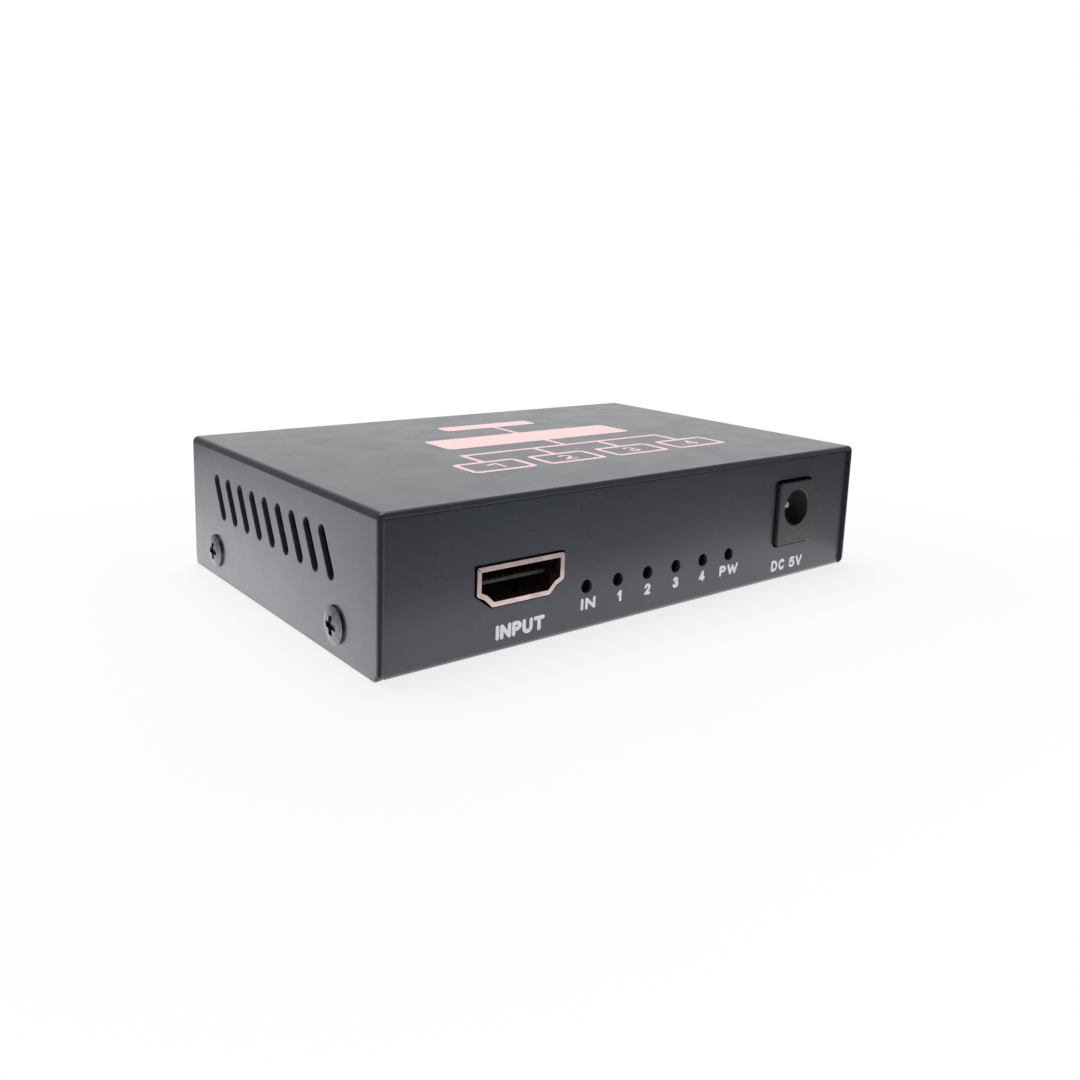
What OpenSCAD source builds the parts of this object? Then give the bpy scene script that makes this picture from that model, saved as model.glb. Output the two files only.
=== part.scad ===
// Video splitter box: one input and a power jack on the front, four outputs on the rear.
// Origin at the centre of the base, +X to the right seen from the front, front towards -Y, +Z up.
// All sizes in millimetres.

/* [Case] */
// Width of the case over both wings
case_w = 100; // [97:0.5:120]
// Depth of the case from front edge to rear edge
case_d = 64.7; // [63:0.1:80]
// Height of the case
case_h = 22.8; // [21:0.1:30]
// Thickness of the steel sheet
sheet_t = 0.8; // [0.6:0.05:1]
// Inner radius of the folds
fold_r = 0.2; // [0.1:0.1:1.2]
// Gap between the cover and the tray
seam_gap = 0.2; // [0.1:0.05:0.3]
// How far the panels sit behind the edges of the cover
panel_recess = 0.6; // [0.1:0.05:1]
// Height of the wings' lower edges above the base
wing_lift = 0.2; // [0.1:0.1:0.6]
// Radius of the lower corners of the wings
wing_corner_r = 1.3; // [1:0.1:4]
// Height of the tray's side flanges above the base
flange_h = 8; // [7.2:0.1:9.5]
// Length of the open corner between a flange and a panel
corner_relief = 3; // [2.2:0.1:5]

/* [Vents] */
// Number of slots in each wing
vent_count = 9; // [5:1:10]
// Distance from slot to slot
vent_pitch = 4.74; // [3.6:0.01:5]
// Width of a slot
vent_w = 1.8; // [1:0.1:2.4]
// Length of a slot from end to end
vent_len = 7.8; // [5:0.1:9]
// Lean of the slots, tops towards the rear
vent_lean = 26; // [0:1:35]
// Height of the middle of the slots above the base
vent_z = 14.35; // [13:0.05:16]
// Distance of the slot row behind the middle of the case
vent_offset = 1; // [-3:0.1:3]

/* [Cover screws] */
// Diameter of the thread
screw_d = 3; // [2:0.1:3.4]
// Length of the shank under the head
screw_len = 4.5; // [4:0.1:6]
// Diameter of the head
screw_head_d = 5.5; // [4.6:0.1:6]
// Height of the head
screw_head_h = 0.8; // [0.7:0.1:2]
// Height of the straight edge of the head
screw_edge_h = 0.35; // [0.3:0.05:0.7]
// Height of the cone at the tip of the shank
screw_tip_h = 0.5; // [0.3:0.1:0.8]
// Distance between the front and rear screws
screw_span = 42.6; // [36:0.2:48]
// Distance of the screws' middle behind the middle of the case
screw_offset = 0.8; // [-2:0.1:2]
// Height of the screws above the base
screw_z = 4.7; // [3.6:0.1:5]
// Radial gap between a thread and its tapped hole
thread_gap = 0.05; // [0.02:0.01:0.1]
// Radial gap around a shank in the cover's hole
screw_hole_gap = 0.2; // [0.1:0.05:0.4]
// Width of the arms of the cross recess
recess_w = 0.95; // [0.5:0.05:1]
// Length of the cross recess from tip to tip
recess_len = 2.8; // [2.2:0.1:3.6]
// Depth of the cross recess
recess_depth = 0.6; // [0.5:0.1:1]
// Wall of the tapped collars
collar_wall = 0.7; // [0.5:0.1:1]
// Length of the tapped collars behind the sheet
collar_len = 1.2; // [0.8:0.1:1.6]

/* [Circuit board] */
// Thickness of the board
board_t = 1.6; // [1:0.1:2]
// Gap between the board and the panels
board_edge_gap = 0.5; // [0.3:0.1:1]
// Gap between the board and the tips of the cover screws
board_tip_gap = 0.6; // [0.4:0.1:1.5]
// Height of the standoffs
standoff_h = 4.25; // [3.5:0.05:5]
// Diameter of the standoffs
standoff_d = 5.5; // [5:0.1:7]
// Diameter of the standoffs' press-in shanks
standoff_shank_d = 4.2; // [3.6:0.1:4.8]
// Radial gap around a press-in shank
standoff_gap = 0.02; // [0:0.01:0.05]
// Distance of the board's holes from its sides
board_hole_inset = 3.9; // [3.4:0.1:5]
// Distance between the front and rear holes
board_hole_span = 22; // [14:0.5:26]
// Radial gap around a screw in the board's holes
board_hole_gap = 0.1; // [0.05:0.05:0.3]
// Length of the board screws under the head
board_screw_len = 5; // [4:0.1:5.4]
// Thickness left under the tapped hole of a standoff
standoff_floor = 0.3; // [0.2:0.1:0.6]

/* [Video sockets] */
// Distance of the input socket from the middle of the front
input_x = -26.8; // [-36:0.1:-26]
// Number of output sockets
output_count = 4; // [1:1:4]
// Distance between the output sockets
output_pitch = 20.5; // [18:0.5:23]
// Width of the socket opening
socket_open_w = 14; // [13.6:0.1:14.4]
// Height of the socket opening
socket_open_h = 4.55; // [4.2:0.05:4.8]
// Height of the opening's straight sides
socket_side_h = 2.9; // [2:0.05:3.2]
// Width of the step below each straight side
socket_step_w = 1; // [0.6:0.05:1.4]
// Drop over the width of that step
socket_step_h = 0.5; // [0.3:0.05:0.7]
// Width of the opening's narrow edge
socket_base_w = 9.6; // [9:0.1:11]
// Height of the opening's centre above the board
socket_axis_h = 3.45; // [3.2:0.05:4]
// Thickness of the shell's sheet
shell_t = 0.35; // [0.25:0.05:0.5]
// Length of the shell
shell_len = 11.9; // [11:0.1:13]
// Width of the flared lip around the opening
lip_w = 0.75; // [0.5:0.05:0.8]
// Corner radius of the lip
lip_r = 0.6; // [0.4:0.1:0.8]
// Thickness of the lip
lip_t = 0.5; // [0.3:0.05:0.8]
// How far the lip stands out of the panel
lip_proud = 0.3; // [0.1:0.05:0.6]
// Width of the open seam in the upper left corner of the lip
lip_seam_w = 0.1; // [0.05:0.05:0.3]
// Gap between a lip and its cut-out
cutout_gap = 0.15; // [0.1:0.05:0.4]
// Width of the tongue
tongue_w = 11.3; // [10.2:0.1:11.6]
// Thickness of the tongue
tongue_t = 0.65; // [0.6:0.05:1.3]
// Height of the tongue above the opening's centre
tongue_rise = 0; // [-0.2:0.05:0.7]
// Distance of the tongue's tip behind the opening
tongue_recess = 2; // [1:0.1:3]
// Chamfer around the tongue's tip, as a share of the tongue's thickness
tongue_chamfer = 0.15; // [0.05:0.05:0.4]
// Distance of the tongue's root behind the opening
tongue_root = 8.2; // [7:0.1:10]
// Gap between the insulator and the shell
insulator_gap = 0.05; // [0.02:0.01:0.1]
// Length of the insulator behind the shell
insulator_tail = 1.3; // [0.8:0.1:2]
// Number of contacts above the tongue
contacts_above = 10; // [8:1:10]
// Distance between the contacts of one row
contact_pitch = 1; // [0.9:0.05:1.1]
// Width of a contact
contact_w = 0.3; // [0.2:0.02:0.4]
// Thickness of a contact
contact_t = 0.12; // [0.08:0.01:0.2]
// How far the contacts stand out of the tongue
contact_proud = 0.03; // [0.01:0.01:0.08]
// Distance of the contacts' ends behind the tongue's tip
contact_setback = 0.5; // [0.3:0.1:1]
// Length of a contact's soldered foot
foot_len = 1; // [0.6:0.1:1.5]
// Length of a shell leg along the socket
leg_d = 1.4; // [1:0.1:2]
// Distances of the shell legs behind the opening
leg_places = [4, 9.4]; // [3:0.1:11]
// How far the legs reach below the board
leg_drop = 0.7; // [0.3:0.1:1.2]
// Gap around a leg in the board
leg_gap = 0.15; // [0.1:0.05:0.3]
// Width of a gripping spring
grip_w = 1.9; // [1.4:0.1:2.4]
// Distance of the gripping springs from the socket's middle
grip_x = 3.1; // [2.4:0.1:3.6]
// Height of a gripping spring above the shell's wall
grip_h = 0.35; // [0.2:0.05:0.45]
// Start, crest and end of a gripping spring behind the opening
grip_places = [1.6, 4.6, 6.4]; // [1:0.1:8]

/* [Power jack] */
// Distance of the jack from the middle of the front
jack_x = 34; // [28:0.1:38]
// Width of the jack's face
jack_w = 9.2; // [8.6:0.1:10]
// Height of the jack's face
jack_h = 11.2; // [10.6:0.1:12]
// Corner radius of the jack's face
jack_corner_r = 0.5; // [0.2:0.1:0.8]
// Length of the jack
jack_len = 13.8; // [13:0.1:15]
// Length of the square block behind the face
jack_block_len = 3.4; // [2:0.1:5]
// Width of the round barrel behind the block
barrel_w = 8.6; // [8.2:0.1:9]
// How far the jack stands out of the panel
jack_proud = 0.8; // [0.5:0.1:2]
// Gap between the jack and its cut-out
jack_gap = 0.35; // [0.15:0.05:0.4]
// Diameter of the plug's hole
bore_d = 6.4; // [6:0.1:6.6]
// Height of the hole above the board
bore_h = 6.5; // [6.2:0.1:6.8]
// Depth of the hole
bore_depth = 9.8; // [9.4:0.1:10.6]
// Diameter of the centre pin
pin_d = 2; // [1.6:0.1:2.5]
// Distance of the pin's tip behind the face
pin_recess = 2; // [1:0.1:3]
// Length of the pin's taper
pin_taper = 0.5; // [0.3:0.1:0.8]
// Diameter of the pin's shank in the rear wall
pin_shank_d = 1.4; // [1:0.1:1.5]
// Width of the leaf contact
leaf_w = 2.4; // [1.8:0.1:2.8]
// Thickness of the leaf contact
leaf_t = 0.25; // [0.2:0.05:0.35]
// Distances of the leaf's tip, crest, knee and root behind the face
leaf_places = [1.2, 2.6, 6.4, 9.2]; // [1:0.1:9.4]
// Depth of the leaf's crest below the hole's axis
leaf_crest_depth = 2.5; // [2.2:0.05:2.7]
// Drop from the crest to the tip
leaf_tip_drop = 1; // [0.6:0.1:1.3]
// Drop from the crest to the root
leaf_root_drop = 1.4; // [1.1:0.1:1.5]
// Clear room around the leaf in the housing
leaf_room = 0.25; // [0.15:0.05:0.4]
// Clear room under the leaf in the housing
leaf_travel = 0.9; // [0.7:0.1:1]
// Gap between the leaf's root and its terminal
leaf_root_gap = 0.1; // [0.05:0.05:0.2]
// Thickness of the terminals
terminal_t = 0.4; // [0.3:0.05:0.5]
// Width of the terminals
terminal_w = 2.2; // [1.6:0.1:2.6]
// How far the terminals reach below the board
terminal_drop = 1; // [0.5:0.1:1.5]
// Distance of the switch terminal behind the face
switch_y = 6.6; // [6:0.1:7.6]
// Height of the switch terminal above the board
switch_h = 4; // [3:0.1:5]

/* [Lamps] */
// Distance between the lamps
lamp_pitch = 6.36; // [4.6:0.01:6.6]
// Distance of the lamp row's middle from the middle of the front
lamp_mid_x = 1.6; // [0:0.1:3]
// Width of a lamp
lamp_w = 3.8; // [2.4:0.1:4.2]
// Depth of a lamp
lamp_d = 1; // [0.8:0.1:1.6]
// Height of a lamp
lamp_h = 0.6; // [0.4:0.05:1]
// Width of a lamp's lens
lens_w = 2.6; // [1.4:0.1:3]
// Height of a lamp's lens
lens_h = 0.4; // [0.2:0.05:0.5]
// How far the lens stands out of the lamp
lens_proud = 0.2; // [0.1:0.05:0.3]
// Diameter of the lamp holes in the front panel
lamp_hole_d = 2; // [1.4:0.1:3]

/* [Main chip] */
// Place of the main chip on the board
chip_at = [-3, -1]; // [-6:0.5:2]
// Width of the square chip
chip_w = 14; // [10:0.5:16]
// Thickness of the chip
chip_t = 1.4; // [1:0.1:1.8]
// Gap between a chip and the board
chip_lift = 0.1; // [0.05:0.05:0.2]
// Number of leads on each side
chip_lead_count = 20; // [12:1:20]
// Distance between the leads
chip_lead_pitch = 0.65; // [0.5:0.05:0.65]
// Width of a lead
lead_w = 0.3; // [0.2:0.05:0.35]
// Thickness of a lead
lead_t = 0.15; // [0.1:0.01:0.2]
// Length of a lead outside the chip
lead_len = 1; // [0.8:0.1:1.4]
// Length of a lead's foot on the board
lead_foot_len = 0.5; // [0.3:0.05:0.6]
// Thickness of the thermal pad
pad_t = 0.5; // [0.3:0.1:1]
// Distance of the pad's edges inside the chip's edges
pad_inset = 1; // [0.5:0.1:2]
// Width of the square heat sink
sink_w = 16; // [14:0.5:20]
// Height of the heat sink
sink_h = 6.5; // [4:0.1:8]
// Thickness of the heat sink's base
sink_base_t = 1.5; // [1:0.1:2.5]
// Number of fins
fin_count = 6; // [4:1:8]
// Thickness of a fin
fin_t = 1; // [0.6:0.1:1.4]

/* [Small chips] */
// Distance of the small chips and the crystal from the middle of the board
column_x = -25; // [-28:0.5:-22]
// Width, depth and thickness of the control chip
control_size = [6.5, 4.4, 1]; // [1:0.1:8]
// Number of leads on each long side of the control chip
control_leads = 9; // [6:1:9]
// Width, depth and thickness of the memory chip
memory_size = [4.9, 3.9, 1.4]; // [1:0.1:6]
// Number of leads on each long side of the memory chip
memory_leads = 4; // [3:1:5]
// Distance of the voltage regulator from the right side of the board
regulator_inset = 13.9; // [12:0.1:16]
// Distance of the voltage regulator behind the middle of the board
regulator_y = 1; // [-1:0.5:4]
// Width, depth and thickness of the voltage regulator
regulator_size = [6.5, 3.5, 1.6]; // [1:0.1:8]
// Number of leads on each long side of the voltage regulator
regulator_leads = 3; // [2:1:4]
// Distance between the leads of the control chip
control_lead_pitch = 0.65; // [0.5:0.05:0.7]
// Distance between the leads of the memory chip and the regulator
wide_lead_pitch = 1.27; // [1:0.01:1.4]

/* [Power parts] */
// Distance of the outer capacitor from the right side of the board
capacitor_inset = 13.9; // [12:0.1:15]
// Distance between the two capacitors
capacitor_pitch = 8; // [7.2:0.1:9]
// Gap between the jack and the capacitors
capacitor_setback = 2.8; // [1:0.1:4]
// Diameter of the capacitor cans
capacitor_d = 6.3; // [5:0.1:6.6]
// Height of the capacitor cans
capacitor_h = 7.7; // [5:0.1:9]
// Height of the capacitors' square bases
capacitor_base_h = 0.8; // [0.5:0.1:1.2]
// How far the bases stand out around the cans
capacitor_base_rim = 0.15; // [0.1:0.05:0.3]
// Distance of the inductor from the right side of the board
inductor_inset = 23.4; // [22:0.1:25]
// Distance of the inductor behind the middle of the board
inductor_y = 0; // [-2:0.5:4]
// Width of the square inductor
inductor_w = 7; // [5:0.1:8]
// Height of the inductor
inductor_h = 3.5; // [2:0.1:5]
// Height of the inductor's square foot
inductor_foot_h = 1; // [0.6:0.1:1.5]
// Distance of the protection diode from the right side of the board
diode_inset = 31.4; // [30:0.1:34]
// Distance of the protection diode behind the middle of the board
diode_y = -14; // [-18:0.5:-13]
// Width, depth and height of the protection diode
diode_size = [4.3, 2.6, 2.2]; // [1:0.1:5]
// Length of the diode's end caps
diode_cap_len = 0.5; // [0.3:0.1:0.8]
// Width of the diode's end caps
diode_cap_w = 1.3; // [0.8:0.1:2.2]
// Height of the diode's end caps
diode_cap_h = 1.1; // [0.6:0.1:1.8]
// Length, width and height of the crystal's can
crystal_size = [10.4, 4.4, 3]; // [2:0.1:12]
// Height of the crystal's foot
crystal_foot_h = 0.5; // [0.3:0.1:0.8]
// How far the crystal's foot stands out around the can
crystal_foot_rim = 0.4; // [0.2:0.1:0.6]

/* [Small parts] */
// Width, depth and height of a surge array
surge_size = [2.5, 1, 0.6]; // [0.4:0.1:3]
// Distance of a surge array from a socket's middle
surge_x = 3; // [2:0.1:4]
// Gap between a socket's feet and the surge arrays
surge_setback = 0.8; // [0.5:0.1:1.5]
// Width, depth and height of a chip resistor
resistor_size = [0.8, 1.6, 0.45]; // [0.3:0.05:2]
// Number of chip resistors behind each socket
resistor_count = 5; // [2:1:6]
// Distance between the chip resistors
resistor_pitch = 2; // [1.4:0.1:2.6]
// Gap between the surge arrays and the chip resistors
resistor_setback = 0.8; // [0.5:0.1:1.2]
// Width, depth and height of a chip capacitor
chip_capacitor_size = [1.6, 0.8, 0.8]; // [0.4:0.05:2]
// Number of chip capacitors on each side of the main chip
chip_capacitor_count = 5; // [2:1:6]
// Distance between the chip capacitors
chip_capacitor_pitch = 2.4; // [1.4:0.1:2.8]
// Gap between the main chip's leads and the chip capacitors
chip_capacitor_setback = 0.8; // [0.5:0.1:1.5]

/* [Hidden] */
$fn = 48;
// Length by which cuts run past the faces that they open
cut = 1;
// Colours, as seen in the photograph or usual for the material
paint = "#2B2D31";
plated = "#CDBBB6";
tin = "#C8C9CC";
gold = "#C9A24B";
black_plastic = "#1C1D1F";
blackened_steel = "#3A3B3E";

half_w = case_w / 2;
half_d = case_d / 2;
fold_outer_r = fold_r + sheet_t;
tray_w = case_w - 2 * (sheet_t + seam_gap);
panel_y = half_d - panel_recess;
panel_top = case_h - sheet_t - seam_gap;
flange_x = tray_w / 2 - sheet_t;
flange_end = panel_y - corner_relief;
corner_y = panel_y - fold_outer_r - fold_r;

board_z = sheet_t + standoff_h;
board_top = board_z + board_t;
board_w = case_w - 2 * (screw_len + board_tip_gap);
board_d = 2 * (panel_y - sheet_t - board_edge_gap);
board_hole_x = board_w / 2 - board_hole_inset;

socket_side = socket_open_w / 2;
socket_top = socket_open_h / 2;
socket_knee = socket_top - socket_side_h;
lip_top = socket_top + lip_w;
lip_side = socket_side + lip_w;
tip_chamfer = tongue_chamfer * tongue_t;
tail_y = shell_len + insulator_tail;
tongue_z = socket_axis_h + tongue_rise;
socket_len = tail_y + foot_len;

leaf_crest_z = bore_h - leaf_crest_depth;
leaf_root_z = leaf_crest_z - leaf_root_drop;
leaf_room_floor = leaf_root_z - leaf_t / 2 - leaf_travel;
root_terminal_y = leaf_places[3] + leaf_root_gap;
terminal_reach = board_t + terminal_drop;
lamp_count = output_count + 2;
lamp_names = concat(["input"], [for (i = [1:output_count]) str(i)], ["power"]);
chip_top = board_top + chip_lift + chip_t;
surge_y = socket_len + surge_setback + surge_size.y / 2;
resistor_y = surge_y + surge_size.y / 2 + resistor_setback + resistor_size.y / 2;
chip_capacitor_reach = chip_w / 2 + lead_len + chip_capacitor_setback + chip_capacitor_size.y / 2;

// Power parts keep their distance from the right side of the board and from the jack
board_side = board_w / 2;
capacitor_base_w = capacitor_d + 2 * capacitor_base_rim;
jack_end = jack_len + terminal_t - panel_y - jack_proud;
capacitor_y = jack_end + capacitor_setback + capacitor_base_w / 2;
capacitor_at = [for (i = [0, 1]) [board_side - capacitor_inset - i * capacitor_pitch, capacitor_y]];
regulator_at = [board_side - regulator_inset, regulator_y];
inductor_at = [board_side - inductor_inset, inductor_y];
diode_at = [board_side - diode_inset, diode_y];

// Memory chip, control chip and crystal are spread evenly between the rows behind the sockets
row_y = panel_y + lip_proud - resistor_y - resistor_size.y / 2;
memory_d = memory_size.y + 2 * lead_len;
control_d = control_size.y + 2 * lead_len;
crystal_d = crystal_size.y + 2 * crystal_foot_rim;
column_gap = (2 * row_y - memory_d - control_d - crystal_d) / 4;
memory_at = [column_x, column_gap - row_y + memory_d / 2];
crystal_at = [column_x, row_y - column_gap - crystal_d / 2];
control_at = [column_x, memory_at.y + (memory_d + control_d) / 2 + column_gap];
socket_names = concat(["input"], [for (i = [1:output_count]) str("output_", i)]);

// Places and outlines

function output_x(i) = ((output_count + 1) / 2 - i) * output_pitch;
function lamp_x(i) = lamp_mid_x + (i - (lamp_count - 1) / 2) * lamp_pitch;

// Outward normal of an edge of an outline that runs counter-clockwise
function edge_normal(p, q) = [q.y - p.y, p.x - q.x] / norm(q - p);

// An outline that runs counter-clockwise, with every edge moved outwards by the same distance
function grown(points, distance) = [
    for (i = [0:len(points) - 1])
        let (before = edge_normal(points[(i + len(points) - 1) % len(points)], points[i]))
        let (after = edge_normal(points[i], points[(i + 1) % len(points)]))
        points[i] + distance * (before + after) / (1 + before * after)
];

// Outline about the centre of a socket opening, from the points of its left half, and their mirror images
function both_halves(left) = concat(left, [for (i = [len(left) - 1:-1:0]) [-left[i].x, left[i].y]]);

// Outline of a socket opening with a step below its straight sides, grown evenly by a wall or a gap
function socket_outline(grow) = grown(both_halves([
    [-socket_side, socket_top], [-socket_side, socket_knee],
    [socket_step_w - socket_side, socket_knee - socket_step_h], [-socket_base_w / 2, -socket_top]
]), grow);

// The same without the step
function plain_outline(grow) = grown(both_halves([
    [-socket_side, socket_top], [-socket_side, socket_knee], [-socket_base_w / 2, -socket_top]
]), grow);

// A flat outline in X and Z, stretched along Y
module along_y(from, to) {
    translate([0, to, 0]) rotate([90, 0, 0]) linear_extrude(to - from) children();
}

// A flat outline in Y and Z, stretched along X
module along_x(from, to) {
    translate([from, 0, 0]) rotate([90, 0, 90]) linear_extrude(to - from) children();
}

module both_sides() {
    children();
    mirror([1, 0, 0]) children();
}

// Outline of a box with round upper corners
module arch(width, bottom, top, r) {
    translate([-width / 2, bottom]) square([width, top - r - bottom]);
    translate([r - width / 2, bottom]) square([width - 2 * r, top - bottom]);
    for (side = [-1, 1]) translate([side * (width / 2 - r), top - r]) circle(r);
}

// Outline of a box with round lower corners
module trough(width, bottom, top, r) {
    translate([0, bottom + top]) mirror([0, 1]) arch(width, bottom, top, r);
}

// Sheet folded up at both ends
module folded_trough(width, top) {
    difference() {
        trough(width, 0, top, fold_outer_r);
        trough(width - 2 * sheet_t, sheet_t, top + cut, fold_r);
    }
}

// Outline with round corners, from the centres of its corner arcs
module rounded(points, r) {
    polygon(points);
    for (i = [0:len(points) - 1]) {
        p = points[i];
        q = points[(i + 1) % len(points)];
        n = edge_normal(p, q) * r;
        translate(p) circle(r);
        polygon([p, p + n, q + n, q]);
    }
}

// Outline of a box with four round corners, reaching equally far to both sides
module rounded_box(reach, low, top, r) {
    rounded([
        [r - reach, low + r], [reach - r, low + r],
        [reach - r, top - r], [r - reach, top - r]
    ], r);
}

// A block standing on z = 0, centred in X and Y
module block(size) {
    translate([-size.x / 2, -size.y / 2, 0]) cube(size);
}

module on_board(at) {
    translate([at.x, at.y, board_top]) children();
}

module place_input() {
    translate([input_x, -panel_y - lip_proud, board_top]) children();
}

module place_output(i) {
    translate([output_x(i), panel_y + lip_proud, board_top]) rotate(180) children();
}

module every_socket() {
    place_input() children();
    for (i = [1:output_count]) place_output(i) children();
}

module place_jack() {
    translate([jack_x, -panel_y - jack_proud, board_top]) children();
}

module every_board_hole() {
    for (x = [-1, 1], y = [-1, 1]) translate([x * board_hole_x, y * board_hole_span / 2, 0]) children();
}

// Screws

// Low domed screw with a cross recess, seat of the head at z = 0, shank downwards
module screw(length) {
    dome_h = screw_head_h - screw_edge_h;
    dome_r = (pow(screw_head_d / 2, 2) + pow(dome_h, 2)) / (2 * dome_h);
    difference() {
        union() {
            intersection() {
                cylinder(d = screw_head_d, h = screw_head_h);
                translate([0, 0, screw_head_h - dome_r]) sphere(dome_r);
            }
            translate([0, 0, screw_tip_h - length]) cylinder(d = screw_d, h = length - screw_tip_h);
            translate([0, 0, -length])
                cylinder(d1 = screw_d - 2 * screw_tip_h, d2 = screw_d, h = screw_tip_h);
        }
        for (turn = [0, 90]) {
            rotate(turn) translate([0, 0, screw_head_h - recess_depth])
                block([recess_len, recess_w, recess_depth + cut]);
        }
    }
}

module place_cover_screw(side, end) {
    translate([side * half_w, screw_offset + end * screw_span / 2, screw_z])
        rotate([0, side * 90, 0]) children();
}

module every_cover_screw() {
    for (side = [-1, 1], end = [-1, 1]) place_cover_screw(side, end) children();
}

module cover_screw(side, end) {
    color(blackened_steel) place_cover_screw(side, end) screw(screw_len);
}

module board_screws() {
    color(tin) every_board_hole() translate([0, 0, board_top]) screw(board_screw_len);
}

// Case

module vent_slot() {
    reach = (vent_len - vent_w) / 2;
    square([vent_w, 2 * reach], center = true);
    for (end = [-1, 1]) translate([0, end * reach]) circle(d = vent_w);
}

module vent_row() {
    for (i = [0:vent_count - 1]) {
        y = vent_offset + (i - (vent_count - 1) / 2) * vent_pitch;
        translate([y, vent_z]) rotate(-vent_lean) vent_slot();
    }
}

module top_cover() {
    inner_w = case_w - 2 * sheet_t;
    color(paint) difference() {
        intersection() {
            along_y(-half_d, half_d) difference() {
                arch(case_w, wing_lift, case_h, fold_outer_r);
                arch(inner_w, wing_lift - cut, case_h - sheet_t, fold_r);
            }
            along_x(-half_w, half_w) trough(case_d, wing_lift, case_h, wing_corner_r);
        }
        along_x(-half_w - cut, half_w + cut) vent_row();
        every_cover_screw() translate([0, 0, -sheet_t - cut])
            cylinder(d = screw_d + 2 * screw_hole_gap, h = sheet_t + 2 * cut);
    }
}

// Hole in a panel around the lip of a socket
module socket_cutout() {
    along_y(-cut, lip_proud + sheet_t + cut) translate([0, socket_axis_h])
        polygon(plain_outline(lip_w + cutout_gap));
}

module front_cutouts() {
    place_input() socket_cutout();
    place_jack() along_y(0, jack_proud + sheet_t + cut) jack_outline(jack_gap);
    for (i = [0:lamp_count - 1]) {
        translate([lamp_x(i), cut - panel_y + sheet_t, board_top + lamp_h / 2]) rotate([90, 0, 0])
            cylinder(d = lamp_hole_d, h = sheet_t + 2 * cut);
    }
}

module rear_cutouts() {
    for (i = [1:output_count]) place_output(i) socket_cutout();
}

// Floor with both panels, round at the panels' lower corners and open at the sides, where the flanges go
module tray_panels() {
    difference() {
        intersection() {
            along_x(-tray_w / 2, tray_w / 2) folded_trough(2 * panel_y, panel_top);
            along_y(-panel_y, panel_y) trough(tray_w, 0, panel_top, fold_outer_r);
        }
        both_sides() translate([tray_w / 2 - fold_outer_r, -corner_y, -cut])
            cube([fold_outer_r + cut, 2 * corner_y, panel_top + 2 * cut]);
    }
}

module tray_flanges() {
    along_y(-flange_end, flange_end) intersection() {
        folded_trough(tray_w, flange_h);
        both_sides() translate([tray_w / 2 - fold_outer_r, 0]) square([fold_outer_r, flange_h]);
    }
}

module bottom_tray() {
    collar_d = screw_d + 2 * (thread_gap + collar_wall);
    seat = half_w - flange_x;
    color(paint) difference() {
        union() {
            tray_panels();
            tray_flanges();
            every_cover_screw() translate([0, 0, -seat - collar_len])
                cylinder(d = collar_d, h = collar_len);
        }
        every_cover_screw() translate([0, 0, -seat - collar_len - cut])
            cylinder(d = screw_d + 2 * thread_gap, h = collar_len + sheet_t + 2 * cut);
        front_cutouts();
        rear_cutouts();
        every_board_hole() translate([0, 0, -cut])
            cylinder(d = standoff_shank_d + 2 * standoff_gap, h = sheet_t + 2 * cut);
    }
}

module board_standoffs() {
    color(tin) every_board_hole() difference() {
        union() {
            cylinder(d = standoff_shank_d, h = sheet_t);
            translate([0, 0, sheet_t]) cylinder(d = standoff_d, h = standoff_h);
        }
        translate([0, 0, standoff_floor]) cylinder(d = screw_d + 2 * thread_gap, h = board_z + cut);
    }
}

// Circuit board

module board_openings() {
    every_board_hole() translate([0, 0, board_z - cut])
        cylinder(d = screw_d + 2 * board_hole_gap, h = board_t + 2 * cut);
    every_socket() translate([0, 0, -board_t - cut]) socket_legs(board_t + 2 * cut, leg_gap);
    place_jack() translate([0, 0, -board_t - cut]) {
        pin_terminal(board_t + 2 * cut, leg_gap);
        sleeve_terminal(board_t + 2 * cut, leg_gap);
        switch_terminal(board_t + 2 * cut, leg_gap);
    }
}

module circuit_board() {
    color("#1E4A33") difference() {
        translate([0, 0, board_z]) block([board_w, board_d, board_t]);
        board_openings();
    }
}

// Video socket: opening at y = 0 facing -Y, board at z = 0

// Upright legs of the shell, standing on z = 0
module socket_legs(height, gap) {
    both_sides() for (y = leg_places) {
        translate([socket_side - gap, y - leg_d / 2 - gap, 0])
            cube([shell_t + 2 * gap, leg_d + 2 * gap, height]);
    }
}

// Springs pressed out of the shell that grip a plug
module socket_grips() {
    start = grip_places[0];
    crest = grip_places[1];
    end = grip_places[2];
    both_sides() for (way = [-1, 1]) {
        along_x(grip_x - grip_w / 2, grip_x + grip_w / 2) translate([0, socket_axis_h + way * socket_top])
            polygon([
                [start, 0], [crest, -way * grip_h], [end, 0],
                [end, way * shell_t], [start, way * shell_t]
            ]);
    }
}

// Flared lip around the opening, whose upper left corner is square and slit
module socket_lip() {
    along_y(0, lip_t) translate([0, socket_axis_h]) difference() {
        union() {
            rounded(socket_outline(lip_w - lip_r), lip_r);
            translate([-lip_side, lip_top - lip_r]) square(lip_r);
        }
        translate([-socket_side, socket_top]) rotate(135)
            translate([0, -lip_seam_w / 2]) square([2 * lip_w, lip_seam_w]);
    }
}

module socket_shell() {
    leg_reach = board_t + leg_drop;
    color(plated) difference() {
        union() {
            along_y(0, shell_len) translate([0, socket_axis_h]) polygon(socket_outline(shell_t));
            socket_lip();
            translate([0, 0, -leg_reach]) socket_legs(leg_reach + socket_axis_h, 0);
        }
        difference() {
            along_y(-cut, shell_len + cut) translate([0, socket_axis_h]) polygon(socket_outline(0));
            socket_grips();
        }
    }
}

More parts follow.
